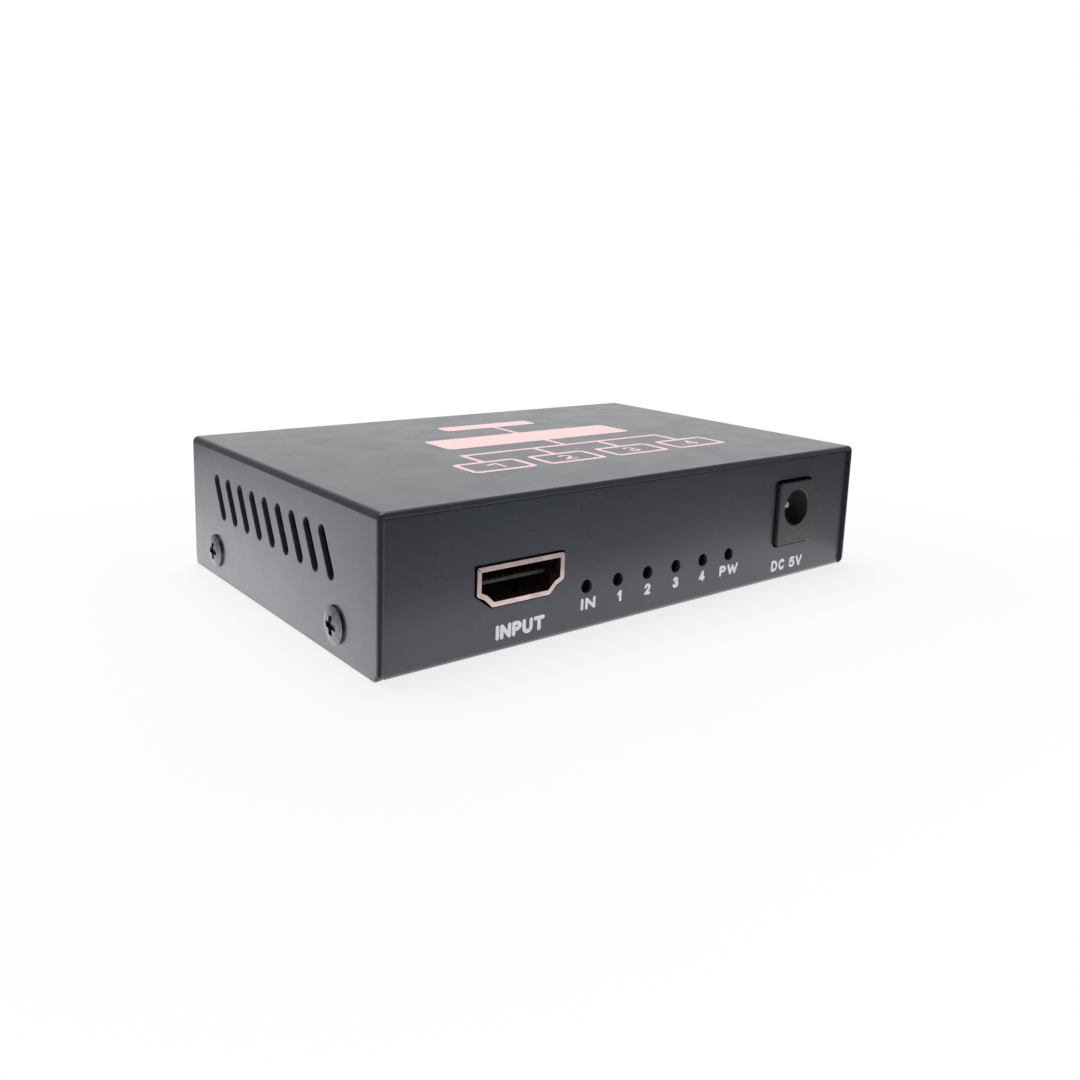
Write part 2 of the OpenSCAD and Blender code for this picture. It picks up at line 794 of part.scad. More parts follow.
// One contact: strip along the tongue, drop behind the insulator and foot on the board
module contact(x, z) {
    start = tongue_recess + contact_setback;
    along_x(x - contact_w / 2, x + contact_w / 2) polygon([
        [start, z], [tail_y, z], [tail_y, 0], [socket_len, 0],
        [socket_len, contact_t], [tail_y + contact_t, contact_t], [tail_y + contact_t, z + contact_t],
        [start, z + contact_t]
    ]);
}

module contact_row(count, z) {
    for (i = [0:count - 1]) contact((i - (count - 1) / 2) * contact_pitch, z);
}

module socket_contacts() {
    color(gold) {
        contact_row(contacts_above, tongue_z + tongue_t / 2 + contact_proud - contact_t);
        contact_row(contacts_above - 1, tongue_z - tongue_t / 2 - contact_proud);
    }
}

// Outline of the tongue with its chamfered tip, from above or, turned, from the side
function tongue_outline(half) = [
    [half - tip_chamfer, tongue_recess], [half, tongue_recess + tip_chamfer], [half, shell_len],
    [-half, shell_len], [-half, tongue_recess + tip_chamfer], [tip_chamfer - half, tongue_recess]
];

// Tongue that carries the contacts, chamfered on all four edges of its tip
module socket_tongue() {
    intersection() {
        translate([0, 0, tongue_z - tongue_t / 2]) linear_extrude(tongue_t)
            polygon(tongue_outline(tongue_w / 2));
        along_x(-tongue_w / 2, tongue_w / 2) translate([0, tongue_z])
            polygon([for (p = tongue_outline(tongue_t / 2)) [p.y, p.x]]);
    }
}

module socket_insulator() {
    back_h = socket_axis_h + socket_top;
    color(black_plastic) difference() {
        union() {
            socket_tongue();
            along_y(tongue_root, shell_len)
                translate([0, socket_axis_h]) polygon(socket_outline(-insulator_gap));
            translate([-socket_side, shell_len, 0]) cube([socket_open_w, insulator_tail, back_h]);
        }
        socket_contacts();
    }
}

// Power jack: face at y = 0 facing -Y, board at z = 0

// Upright blade behind the housing that carries the centre pin
module pin_terminal(height, gap) {
    translate([-terminal_w / 2 - gap, jack_len - gap, 0])
        cube([terminal_w + 2 * gap, terminal_t + 2 * gap, height]);
}

// Upright blade behind the leaf's root
module sleeve_terminal(height, gap) {
    translate([-terminal_w / 2 - gap, root_terminal_y - gap, 0])
        cube([terminal_w + 2 * gap, terminal_t + 2 * gap, height]);
}

// Upright blade against the left side of the barrel
module switch_terminal(height, gap) {
    translate([-barrel_w / 2 - terminal_t - gap, switch_y - terminal_w / 2 - gap, 0])
        cube([terminal_t + 2 * gap, terminal_w + 2 * gap, height]);
}

module jack_cylinder(d, from, to) {
    translate([0, to, bore_h]) rotate([90, 0, 0]) cylinder(d = d, h = to - from);
}

// Room in the housing for the leaf and its travel
module leaf_channel() {
    room_w = leaf_w + 2 * leaf_room;
    start = leaf_places[0] - leaf_room;
    translate([-room_w / 2, start, leaf_room_floor])
        cube([room_w, root_terminal_y - start, bore_h - leaf_room_floor]);
}

// Outline of the jack's face, grown evenly by a gap
module jack_outline(grow) {
    rounded_box(jack_w / 2 + grow, -grow, jack_h + grow, jack_corner_r + grow);
}

module power_jack_housing() {
    color(black_plastic) place_jack() difference() {
        union() {
            along_y(0, jack_block_len) jack_outline(0);
            translate([-barrel_w / 2, jack_block_len, 0])
                cube([barrel_w, jack_len - jack_block_len, bore_h]);
            jack_cylinder(barrel_w, jack_block_len, jack_len);
        }
        jack_cylinder(bore_d, -cut, bore_depth);
        jack_cylinder(pin_shank_d, bore_depth - cut, jack_len + cut);
        leaf_channel();
        translate([0, 0, -cut]) sleeve_terminal(leaf_crest_z + cut, 0);
    }
}

module power_jack_pin() {
    taper_end = pin_recess + pin_taper;
    color(tin) place_jack() union() {
        translate([0, taper_end, bore_h]) rotate([90, 0, 0])
            cylinder(d1 = pin_d, d2 = pin_d - 2 * pin_taper, h = pin_taper);
        jack_cylinder(pin_d, taper_end, bore_depth);
        jack_cylinder(pin_shank_d, bore_depth, jack_len + terminal_t);
        translate([0, 0, -terminal_reach]) pin_terminal(terminal_reach + bore_h + pin_shank_d, 0);
    }
}

module power_jack_leaf() {
    knee_z = leaf_root_z + leaf_t;
    heights = [leaf_crest_z - leaf_tip_drop, leaf_crest_z, knee_z, leaf_root_z];
    lower = [for (i = [0:3]) [leaf_places[i], heights[i] - leaf_t]];
    upper = [for (i = [3:-1:0]) [leaf_places[i], heights[i]]];
    color(tin) place_jack() along_x(-leaf_w / 2, leaf_w / 2) polygon(concat(lower, upper));
}

module power_jack_sleeve_terminal() {
    color(tin) place_jack() translate([0, 0, -terminal_reach])
        sleeve_terminal(terminal_reach + leaf_crest_z, 0);
}

module power_jack_switch_terminal() {
    color(tin) place_jack() translate([0, 0, -terminal_reach])
        switch_terminal(terminal_reach + switch_h, 0);
}

// Lamps at the front edge of the board, each behind its hole in the panel

module lamp(i) {
    color("#D8DCD2") translate([lamp_x(i), -board_d / 2, board_top]) {
        translate([-lamp_w / 2, 0, 0]) cube([lamp_w, lamp_d, lamp_h]);
        translate([-lens_w / 2, -lens_proud, (lamp_h - lens_h) / 2]) cube([lens_w, lens_proud, lens_h]);
    }
}

// Chips

// One bent lead that leaves a chip's side at y = 0 and lands on the board
module lead(rise) {
    knee = lead_len - lead_foot_len;
    along_x(-lead_w / 2, lead_w / 2) polygon([
        [0, rise], [knee - lead_t, rise], [knee - lead_t, 0], [lead_len, 0],
        [lead_len, lead_t], [knee, lead_t], [knee, rise + lead_t], [0, rise + lead_t]
    ]);
}

module lead_row(count, pitch, rise) {
    for (i = [0:count - 1]) translate([(i - (count - 1) / 2) * pitch, 0, 0]) lead(rise);
}

// Leads on the front and rear sides of a chip
module lead_pair(depth, thickness, count, pitch) {
    for (turn = [0, 180]) {
        rotate(turn) translate([0, depth / 2, 0]) lead_row(count, pitch, chip_lift + thickness / 2);
    }
}

module chip_body(at, size) {
    on_board(at) translate([0, 0, chip_lift]) block(size);
}

module splitter_chip() {
    color(black_plastic) chip_body(chip_at, [chip_w, chip_w, chip_t]);
}

module splitter_chip_leads() {
    color(tin) on_board(chip_at) for (turn = [0, 90]) {
        rotate(turn) lead_pair(chip_w, chip_t, chip_lead_count, chip_lead_pitch);
    }
}

module thermal_pad() {
    pad_w = chip_w - 2 * pad_inset;
    color("#9AA7B4") translate([chip_at.x, chip_at.y, chip_top]) block([pad_w, pad_w, pad_t]);
}

module heat_sink() {
    step = (sink_w - fin_t) / (fin_count - 1);
    color("#A9ACB0") translate([chip_at.x, chip_at.y, chip_top + pad_t]) {
        block([sink_w, sink_w, sink_base_t]);
        for (i = [0:fin_count - 1]) {
            translate([(i - (fin_count - 1) / 2) * step, 0, 0]) block([fin_t, sink_w, sink_h]);
        }
    }
}

module control_chip() {
    color(black_plastic) chip_body(control_at, control_size);
}

module memory_chip() {
    color(black_plastic) chip_body(memory_at, memory_size);
}

module voltage_regulator() {
    color(black_plastic) chip_body(regulator_at, regulator_size);
}

module small_chip_leads() {
    color(tin) {
        on_board(control_at) lead_pair(control_size.y, control_size.z, control_leads, control_lead_pitch);
        on_board(memory_at) lead_pair(memory_size.y, memory_size.z, memory_leads, wide_lead_pitch);
        on_board(regulator_at)
            lead_pair(regulator_size.y, regulator_size.z, regulator_leads, wide_lead_pitch);
    }
}

// Power parts

module capacitor_bases() {
    base = [capacitor_base_w, capacitor_base_w, capacitor_base_h];
    color(black_plastic) for (at = capacitor_at) on_board(at) block(base);
}

module capacitor_cans() {
    color("#B9BBBF") for (at = capacitor_at) {
        on_board(at) translate([0, 0, capacitor_base_h])
            cylinder(d = capacitor_d, h = capacitor_h - capacitor_base_h);
    }
}

module power_inductor() {
    color("#4A4B4E") on_board(inductor_at) {
        block([inductor_w, inductor_w, inductor_foot_h]);
        cylinder(d = inductor_w, h = inductor_h);
    }
}

module protection_diode() {
    color(black_plastic) on_board(diode_at) {
        block(diode_size);
        block([diode_size.x + 2 * diode_cap_len, diode_cap_w, diode_cap_h]);
    }
}

module crystal_outline(grow) {
    r = crystal_size.y / 2;
    reach = crystal_size.x / 2 - r;
    square([2 * reach, 2 * (r + grow)], center = true);
    for (end = [-1, 1]) translate([end * reach, 0]) circle(r + grow);
}

module crystal_can() {
    color("#C9CACC") on_board(crystal_at) {
        linear_extrude(crystal_foot_h) crystal_outline(crystal_foot_rim);
        linear_extrude(crystal_size.z) crystal_outline(0);
    }
}

// Small parts behind the sockets and round the main chip

module surge_arrays() {
    color(black_plastic) every_socket() both_sides() translate([surge_x, surge_y, 0]) block(surge_size);
}

module chip_resistors() {
    color("#26282C") every_socket() for (i = [0:resistor_count - 1]) {
        translate([(i - (resistor_count - 1) / 2) * resistor_pitch, resistor_y, 0]) block(resistor_size);
    }
}

module chip_capacitors() {
    color("#B99A6B") on_board(chip_at) for (turn = [0:90:270], i = [0:chip_capacitor_count - 1]) {
        x = (i - (chip_capacitor_count - 1) / 2) * chip_capacitor_pitch;
        rotate(turn) translate([x, chip_capacitor_reach, 0]) block(chip_capacitor_size);
    }
}

// Assembly

bottom_tray();
top_cover();
cover_screw(-1, -1);  // cover_screw_left_front
cover_screw(-1, 1);  // cover_screw_left_rear
cover_screw(1, -1);  // cover_screw_right_front
cover_screw(1, 1);  // cover_screw_right_rear
board_standoffs();
board_screws();
circuit_board();
place_input() socket_shell();  // input_shell
place_input() socket_insulator();  // input_insulator
place_input() socket_contacts();  // input_contacts
for (i = [1:output_count]) {
    place_output(i) socket_shell();
    place_output(i) socket_insulator();
    place_output(i) socket_contacts();
}
power_jack_housing();
power_jack_pin();
power_jack_leaf();
power_jack_sleeve_terminal();
power_jack_switch_terminal();
for (i = [0:lamp_count - 1]) {
    lamp(i);
}
splitter_chip();
splitter_chip_leads();
thermal_pad();
heat_sink();
control_chip();
memory_chip();
voltage_regulator();
small_chip_leads();
capacitor_bases();
capacitor_cans();
power_inductor();
protection_diode();
crystal_can();
surge_arrays();
chip_resistors();
chip_capacitors();
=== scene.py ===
"""Looks of a small video splitter box: a painted sheet-metal case, sockets, a power jack, lamps and a board.

Sizes are in millimetres, and go to metres where a mesh or a lamp is made. The box stands on z = 0, its front
panel faces -Y and the four outputs sit on the rear.
"""

import logging
import math
from dataclasses import dataclass
from enum import Enum

import bmesh
import bpy
from mathutils import Matrix, Vector


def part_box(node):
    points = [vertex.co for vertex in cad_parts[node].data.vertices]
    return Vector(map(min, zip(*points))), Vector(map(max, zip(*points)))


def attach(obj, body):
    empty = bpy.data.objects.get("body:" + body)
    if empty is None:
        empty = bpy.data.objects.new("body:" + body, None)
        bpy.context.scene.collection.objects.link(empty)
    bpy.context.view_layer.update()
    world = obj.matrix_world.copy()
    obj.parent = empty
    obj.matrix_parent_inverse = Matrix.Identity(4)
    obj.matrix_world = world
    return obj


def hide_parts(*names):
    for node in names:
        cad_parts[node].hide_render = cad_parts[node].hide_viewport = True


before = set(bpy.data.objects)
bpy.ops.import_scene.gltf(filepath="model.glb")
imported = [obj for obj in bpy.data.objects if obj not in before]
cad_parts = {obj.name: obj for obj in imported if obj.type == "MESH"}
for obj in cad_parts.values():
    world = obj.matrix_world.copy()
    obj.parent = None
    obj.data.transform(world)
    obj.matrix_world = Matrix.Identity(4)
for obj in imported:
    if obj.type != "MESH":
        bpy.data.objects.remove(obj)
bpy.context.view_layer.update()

LOG = logging.getLogger("splitter_box")
MM = 0.001
CASE = "case"
# Half of the cover's depth, its height, and the panels' distance from the middle, in mm.
HALF_DEPTH, TOP, PANEL = 32.35, 22.8, 31.75
# Distance past everything on the box in mm.
FAR = 100.0
# Edges that turn by more than this many degrees are sharp.
SHARP = 35.0
# Faces that turn by less than this many degrees are one flat.
FLAT = 0.5
# Distance within which split corners are joined in mm.
WELD = 0.002
# Band of the noise that is stretched over the whole range.
NOISE_BAND = (0.3, 0.7)
# The wave texture multiplies its scale by this on diagonal bands.
WAVE_GAIN = 10

Tree = bpy.types.NodeTree
Socket = bpy.types.NodeSocket
Triple = tuple[float, float, float]
Area = tuple[float, float, float, float]
Colour = tuple[float, float, float, float]
Points = list[tuple[float, float]]


def linear(code: str) -> Colour:
    """Turns an sRGB hex colour to linear light.

    Args:
        code: Colour such as "#2B2D31".

    Returns:
        Red, green, blue and full alpha.
    """
    shares = [int(code[i : i + 2], 16) / 255 for i in (1, 3, 5)]
    return (*(s / 12.92 if s <= 0.04045 else ((s + 0.055) / 1.055) ** 2.4 for s in shares), 1.0)


def add(tree: Tree, kind: str, settings: dict | None = None, inputs: dict | None = None) -> bpy.types.Node:
    """Adds one node with its settings, values and links.

    Args:
        tree: Tree that takes the node.
        kind: Blender's name of the node's type.
        settings: Values of the node's own attributes.
        inputs: Per input socket, by name or number, a value or the output socket that feeds it.

    Returns:
        The new node.
    """
    node = tree.nodes.new(kind)
    for key, value in (settings or {}).items():
        setattr(node, key, value)
    for key, value in (inputs or {}).items():
        if isinstance(value, Socket):
            tree.links.new(value, node.inputs[key])
        else:
            node.inputs[key].default_value = value
    return node


def seen_rays(tree: Tree) -> tuple[Socket, Socket, Socket]:
    """Tells apart the rays that show something.

    Args:
        tree: Tree of the surround or the floor.

    Returns:
        1 for rays from the camera, for mirrored or refracted rays, and for both kinds.
    """
    rays = add(tree, "ShaderNodeLightPath").outputs
    camera = rays["Is Camera Ray"]
    bounced = {0: rays["Is Glossy Ray"], 1: rays["Is Transmission Ray"]}
    mirrored = add(tree, "ShaderNodeMath", {"operation": "MAXIMUM"}, bounced).outputs[0]
    seen = add(tree, "ShaderNodeMath", {"operation": "MAXIMUM"}, {0: camera, 1: mirrored}).outputs[0]
    return camera, mirrored, seen


def blank_tree(owner: bpy.types.Material | bpy.types.World) -> Tree:
    """Gives a material or a surround an empty tree.

    Args:
        owner: What the nodes are for.

    Returns:
        Its tree.
    """
    owner.use_nodes = True
    owner.node_tree.nodes.clear()
    return owner.node_tree


def geometry_tree(name: str) -> tuple[Tree, Socket]:
    """Starts the tree of a modifier.

    Args:
        name: Name of the tree.

    Returns:
        The tree and the shape that comes into it.
    """
    tree = bpy.data.node_groups.new(name, "GeometryNodeTree")
    for way in ("INPUT", "OUTPUT"):
        tree.interface.new_socket("Geometry", in_out=way, socket_type="NodeSocketGeometry")
    return tree, add(tree, "NodeGroupInput").outputs[0]


@dataclass(frozen=True)
class Finish:
    """A finish whose colour, gloss and relief come from nodes.

    Attributes:
        name: Real material and process.
        dark: Colour of the darker blotches.
        light: Colour of the lighter blotches.
        blotch: Size of a blotch in mm.
        gloss: Lowest and highest roughness.
        grain: Width of one grain of the relief in mm.
        depth: Height of the relief in mm.
        metallic: 1 for bare metal.
        stretch: Share of the grain's frequency kept along X, Y and Z, below 1 on drawn or brushed metal.
        sheen: Strength of the sheen, where 0.5 is that of a plain plastic.
    """

    name: str
    dark: str
    light: str
    blotch: float
    gloss: tuple[float, float]
    grain: float
    depth: float
    metallic: float = 0.0
    stretch: Triple = (1.0, 1.0, 1.0)
    sheen: float = 0.5

    def make(self) -> bpy.types.Material:
        """Builds the material.

        Returns:
            A material with a procedural colour, roughness and normal.
        """
        material = bpy.data.materials.new(self.name)
        tree = blank_tree(material)
        place = add(tree, "ShaderNodeTexCoord").outputs["Object"]
        shader = add(tree, "ShaderNodeBsdfPrincipled", inputs=self.constants())
        tree.links.new(self.colour(tree, place), shader.inputs["Base Color"])
        tree.links.new(self.roughness(tree, place), shader.inputs["Roughness"])
        tree.links.new(self.relief(tree, place), shader.inputs["Normal"])
        add(tree, "ShaderNodeOutputMaterial", inputs={"Surface": shader.outputs["BSDF"]})
        return material

    def constants(self) -> dict[str, float]:
        """Gives the shader values that are the same all over the surface."""
        return {"Metallic": self.metallic, "Specular IOR Level": self.sheen}

    def spread(self, tree: Tree, place: Socket, size: float, detail: float) -> Socket:
        """Lays soft noise over the surface.

        Args:
            tree: The material's tree.
            place: Coordinates in metres.
            size: Size of one blotch in mm.
            detail: Finer octaves on top.

        Returns:
            A value from 0 to 1.
        """
        spots = {"Vector": place, "Scale": 1 / (size * MM), "Detail": detail}
        noise = add(tree, "ShaderNodeTexNoise", inputs=spots).outputs[0]
        low, high = NOISE_BAND
        span = {"Value": noise, "From Min": low, "From Max": high}
        return add(tree, "ShaderNodeMapRange", {"interpolation_type": "SMOOTHSTEP"}, span).outputs[0]

    def colour(self, tree: Tree, place: Socket) -> Socket:
        """Mixes the two colours by blotches.

        Args:
            tree: The material's tree.
            place: Coordinates in metres.

        Returns:
            The colour.
        """
        share = self.spread(tree, place, self.blotch, detail=3.0)
        mix = {0: share, 6: linear(self.dark), 7: linear(self.light)}
        return add(tree, "ShaderNodeMix", {"data_type": "RGBA"}, mix).outputs[2]

    def roughness(self, tree: Tree, place: Socket) -> Socket:
        """Varies the gloss in blotches a third as large as the colour's.

        Args:
            tree: The material's tree.
            place: Coordinates in metres.

        Returns:
            The roughness.
        """
        share = self.spread(tree, place, self.blotch / 3, detail=2.0)
        low, high = self.gloss
        span = {"Value": share, "To Min": low, "To Max": high}
        return add(tree, "ShaderNodeMapRange", inputs=span).outputs[0]

    def relief(self, tree: Tree, place: Socket) -> Socket:
        """Raises the grain.

        Args:
            tree: The material's tree.
            place: Coordinates in metres.

        Returns:
            The normal.
        """
        drawn = add(tree, "ShaderNodeMapping", inputs={"Vector": place, "Scale": self.stretch}).outputs[0]
        grains = {"Vector": drawn, "Scale": 1 / (self.grain * MM), "Detail": 2.0}
        noise = add(tree, "ShaderNodeTexNoise", inputs=grains).outputs[0]
        bump = {"Height": noise, "Distance": self.depth * MM}
        return add(tree, "ShaderNodeBump", inputs=bump).outputs[0]


@dataclass(frozen=True)
class PowderCoat(Finish):
    """Baked powder paint with orange peel over its grain and a few specks of dust.

    Attributes:
        peel: Spacing of the orange peel's waves in mm.
        peel_depth: Height of the waves in mm.
        tint: Tint of the sheen.
        dust: Colour of the specks.
        dust_spacing: Mean distance of the specks in mm.
        dust_size: Width of a speck in mm.
        dust_core: Share of that width that is fully covered.
        dust_least: Lot from 0 to 1 above which a spot has its speck.
    """

    peel: float = 1.1
    peel_depth: float = 0.004
    tint: str = "#F4F6FF"
    dust: str = "#85888D"
    dust_spacing: float = 6.0
    dust_size: float = 0.16
    dust_core: float = 0.3
    dust_least: float = 0.55

    def colour(self, tree: Tree, place: Socket) -> Socket:
        """Lays specks of dust over the paint.

        Args:
            tree: The material's tree.
            place: Coordinates in metres.

        Returns:
            The colour.
        """
        paint = super().colour(tree, place)
        spots = {"Vector": place, "Scale": 1 / (self.dust_spacing * MM)}
        cells = add(tree, "ShaderNodeTexVoronoi", inputs=spots)
        reach = self.dust_size / self.dust_spacing
        near = {"Value": cells.outputs["Distance"], "From Min": reach, "From Max": self.dust_core * reach}
        speck = add(tree, "ShaderNodeMapRange", inputs=near).outputs[0]
        lot = add(tree, "ShaderNodeSeparateColor", inputs={0: cells.outputs["Color"]}).outputs[0]
        drawn = {"Value": lot, "From Min": self.dust_least, "From Max": 1.0}
        kept = add(tree, "ShaderNodeMapRange", inputs=drawn).outputs[0]
        share = add(tree, "ShaderNodeMath", {"operation": "MULTIPLY"}, {0: speck, 1: kept}).outputs[0]
        mix = {0: share, 6: paint, 7: linear(self.dust)}
        return add(tree, "ShaderNodeMix", {"data_type": "RGBA"}, mix).outputs[2]

    def constants(self) -> dict[str, float | Colour]:
        """Adds the bluish tint of the sheen."""
        return {**super().constants(), "Specular Tint": linear(self.tint)}

    def relief(self, tree: Tree, place: Socket) -> Socket:
        """Lays the grain over the orange peel.

        Args:
            tree: The material's tree.
            place: Coordinates in metres.

        Returns:
            The normal.
        """
        waves = {"Vector": place, "Scale": 1 / (self.peel * MM), "Detail": 0.0}
        peel = add(tree, "ShaderNodeTexNoise", inputs=waves).outputs[0]
        swell = {"Height": peel, "Distance": self.peel_depth * MM}
        under = add(tree, "ShaderNodeBump", inputs=swell).outputs[0]
        grains = {"Vector": place, "Scale": 1 / (self.grain * MM), "Detail": 1.0}
        noise = add(tree, "ShaderNodeTexNoise", inputs=grains).outputs[0]
        bump = {"Height": noise, "Distance": self.depth * MM, "Normal": under}
        return add(tree, "ShaderNodeBump", inputs=bump).outputs[0]


@dataclass(frozen=True)
class LampResin(Finish):
    """Cast epoxy that lets some light through; on the lamps its dark colour is painted shade.

    Attributes:
        clear: Share of light that passes.
        index: Index of refraction.
    """

    clear: float = 0.5
    index: float = 1.54

    def constants(self) -> dict[str, float]:
        """Adds the clearness and the index of cast epoxy."""
        return {**super().constants(), "Transmission Weight": self.clear, "IOR": self.index}


@dataclass(frozen=True)
class SolderMask(Finish):
    """Green lacquer over etched copper, whose tracks show as lighter lines.

    Attributes:
        track: Colour over the copper.
        pitch: Distance from track to track along X in mm.
        wander: Bending of the tracks.
        edge: Levels of the wave where a track starts and where it is full.
    """

    track: str = "#1C3F29"
    pitch: float = 6.4
    wander: float = 1.5
    edge: tuple[float, float] = (0.55, 0.7)

    def tracks(self, tree: Tree, place: Socket) -> Socket:
        """Draws slanted, slightly bent runs of tracks.

        Args:
            tree: The material's tree.
            place: Coordinates in metres.

        Returns:
            1 over copper, 0 between.
        """
        scale = 2 * math.pi / (self.pitch * MM) / WAVE_GAIN
        lines = {"Vector": place, "Scale": scale, "Distortion": self.wander, "Detail": 0.0}
        wave = add(tree, "ShaderNodeTexWave", {"bands_direction": "DIAGONAL"}, lines).outputs[1]
        start, full = self.edge
        span = {"Value": wave, "From Min": start, "From Max": full}
        return add(tree, "ShaderNodeMapRange", inputs=span).outputs[0]

    def colour(self, tree: Tree, place: Socket) -> Socket:
        """Lightens the lacquer over the tracks.

        Args:
            tree: The material's tree.
            place: Coordinates in metres.

        Returns:
            The colour.
        """
        mask = super().colour(tree, place)
        over = {0: self.tracks(tree, place), 6: mask, 7: linear(self.track)}
        return add(tree, "ShaderNodeMix", {"data_type": "RGBA"}, over).outputs[2]


class Stock(Enum):
    """The finishes on this box."""

    # Polyester powder baked on steel: deep blue-black, satin, a fine grain and a soft sheen at low angles.
    POWDER_COAT = PowderCoat("powder_coated_steel", "#373B42", "#3A3E45", 18.0, (0.25, 0.29), 0.18, 0.004)
    # Nickel over drawn steel: warm pale metal with faint drawing lines that blur what it mirrors.
    NICKEL = Finish(
        "nickel_plated_steel", "#B29F9C", "#C8B6B3", 3.0, (0.26, 0.40), 0.12, 0.002, 1.0, (0.15, 1.0, 1.0)
    )
    # Glass-filled nylon from a polished mould: near-black, satin.
    NYLON = Finish("moulded_nylon", "#0E0F11", "#141518", 2.0, (0.36, 0.46), 0.15, 0.003)
    # Filled polyester from a spark-eroded mould: dark grey with a fine matt texture.
    POLYESTER = Finish("moulded_polyester", "#222327", "#2B2C30", 2.0, (0.45, 0.58), 0.15, 0.006, sheen=0.85)
    # Gold flashed over bronze strip: warm yellow glints with soft edges.
    GOLD = Finish(
        "gold_flashed_bronze", "#C79A4B", "#E2BC72", 1.0, (0.22, 0.34), 0.10, 0.001, 1.0, (1.0, 0.2, 1.0)
    )
    # Tin dipped on brass: grey-white metal, a little cloudy.
    TIN = Finish("tinned_brass", "#B9B7AF", "#D5D3CB", 1.5, (0.25, 0.42), 0.20, 0.002, 1.0)
    # Black-passivated zinc on steel: smoky dark metal, smooth, with paler worn spots.
    BLACK_STEEL = Finish("black_zinc_plated_steel", "#505054", "#646468", 0.8, (0.32, 0.45), 0.10, 0.003, 1.0)
    # Zinc plated and passivated steel: bluish bright metal with a faint cloud.
    ZINC = Finish("zinc_plated_steel", "#A4A8AE", "#C6CACF", 1.5, (0.24, 0.38), 0.15, 0.002, 1.0)
    # Etched laminate under green lacquer: glossy, with the copper runs showing through. Its greens are
    # darkened as painted shade, so that the board reads dark through the panel's holes.
    MASK = SolderMask("solder_masked_laminate", "#0C2014", "#12291B", 6.0, (0.30, 0.40), 0.30, 0.004)
    # Cast epoxy: glassy, its colour darkened as painted shade so that the lamps read dark behind their holes.
    LAMP = LampResin("cast_epoxy_painted_dark", "#1A1B1C", "#232425", 0.6, (0.20, 0.28), 0.20, 0.001)
    # Transfer-moulded epoxy: dull black with a sanded look.
    CHIP = Finish("moulded_epoxy", "#1D1E20", "#2A2B2E", 1.2, (0.50, 0.62), 0.12, 0.006)
    # Filled silicone sheet: soft matt grey-blue.
    SILICONE = Finish("filled_silicone_sheet", "#8C97A3", "#A2ACB7", 1.5, (0.65, 0.80), 0.25, 0.010)
    # Extruded and black-anodised aluminium: dark satin metal with drawing lines.
    ANODISED = Finish(
        "anodised_aluminium", "#2A2B2D", "#3D3E41", 2.0, (0.32, 0.45), 0.15, 0.003, 1.0, (1.0, 0.1, 1.0)
    )
    # Deep-drawn aluminium can: pale metal with upright drawing lines.
    CAN = Finish(
        "drawn_aluminium", "#B8BABC", "#D2D4D6", 1.5, (0.28, 0.40), 0.15, 0.002, 1.0, (1.0, 1.0, 0.1)
    )
    # Pressed and sintered ferrite: dark grey with open pores.
    FERRITE = Finish("sintered_ferrite", "#2E2D2D", "#434241", 0.8, (0.55, 0.75), 0.15, 0.015)
    # Fired ceramic body: tan, slightly glazed.
    CERAMIC = Finish("fired_ceramic", "#A58A68", "#BFA37E", 0.6, (0.30, 0.42), 0.10, 0.003)
    # Two-part ink from a pad: white film with worn, slightly uneven cover.
    WHITE_INK = Finish("white_pad_printed_ink", "#E6E8EC", "#F6F7F9", 0.35, (0.40, 0.55), 0.18, 0.004)
    # Two-part ink through a screen: pale pink film, even and satin.
    PINK_INK = Finish("pink_screen_printed_ink", "#FFD0D0", "#FFD8D8", 1.2, (0.28, 0.36), 0.18, 0.003)


class Paints:
    """Makes each finish once and puts it on pieces."""

    def __init__(self) -> None:
        """Starts with no material made."""
        self.made: dict[Stock, bpy.types.Material] = {}

    def dress(self, piece: bpy.types.Object, stock: Stock) -> None:
        """Puts a finish on the whole of a piece.

        Args:
            piece: A CAD node or a new piece.
            stock: Its finish.
        """
        if stock not in self.made:
            self.made[stock] = stock.value.make()
        if not piece.data.materials:
            piece.data.materials.append(None)
        for place in piece.material_slots:
            place.material = self.made[stock]
        LOG.info("%s: %s", piece.name, stock.value.name)


PAINTS = Paints()


def weld_tree() -> Tree:
    """Builds the modifier tree that joins split corners and smooths the shading, before edges are rounded.

    Returns:
        A geometry tree, made once.
    """
    found = bpy.data.node_groups.get("weld_corners")
    if found:
        return found
    tree, shape = geometry_tree("weld_corners")
    for name in ("custom_normal", "sharp_edge"):
        shape = add(tree, "GeometryNodeRemoveAttribute", inputs={"Geometry": shape, "Name": name}).outputs[0]
    near = {"Geometry": shape, "Distance": WELD * MM}
    shape = add(tree, "GeometryNodeMergeByDistance", inputs=near).outputs[0]
    shape = add(tree, "GeometryNodeSetShadeSmooth", inputs={"Geometry": shape}).outputs[0]
    add(tree, "NodeGroupOutput", inputs={"Geometry": shape})
    return tree


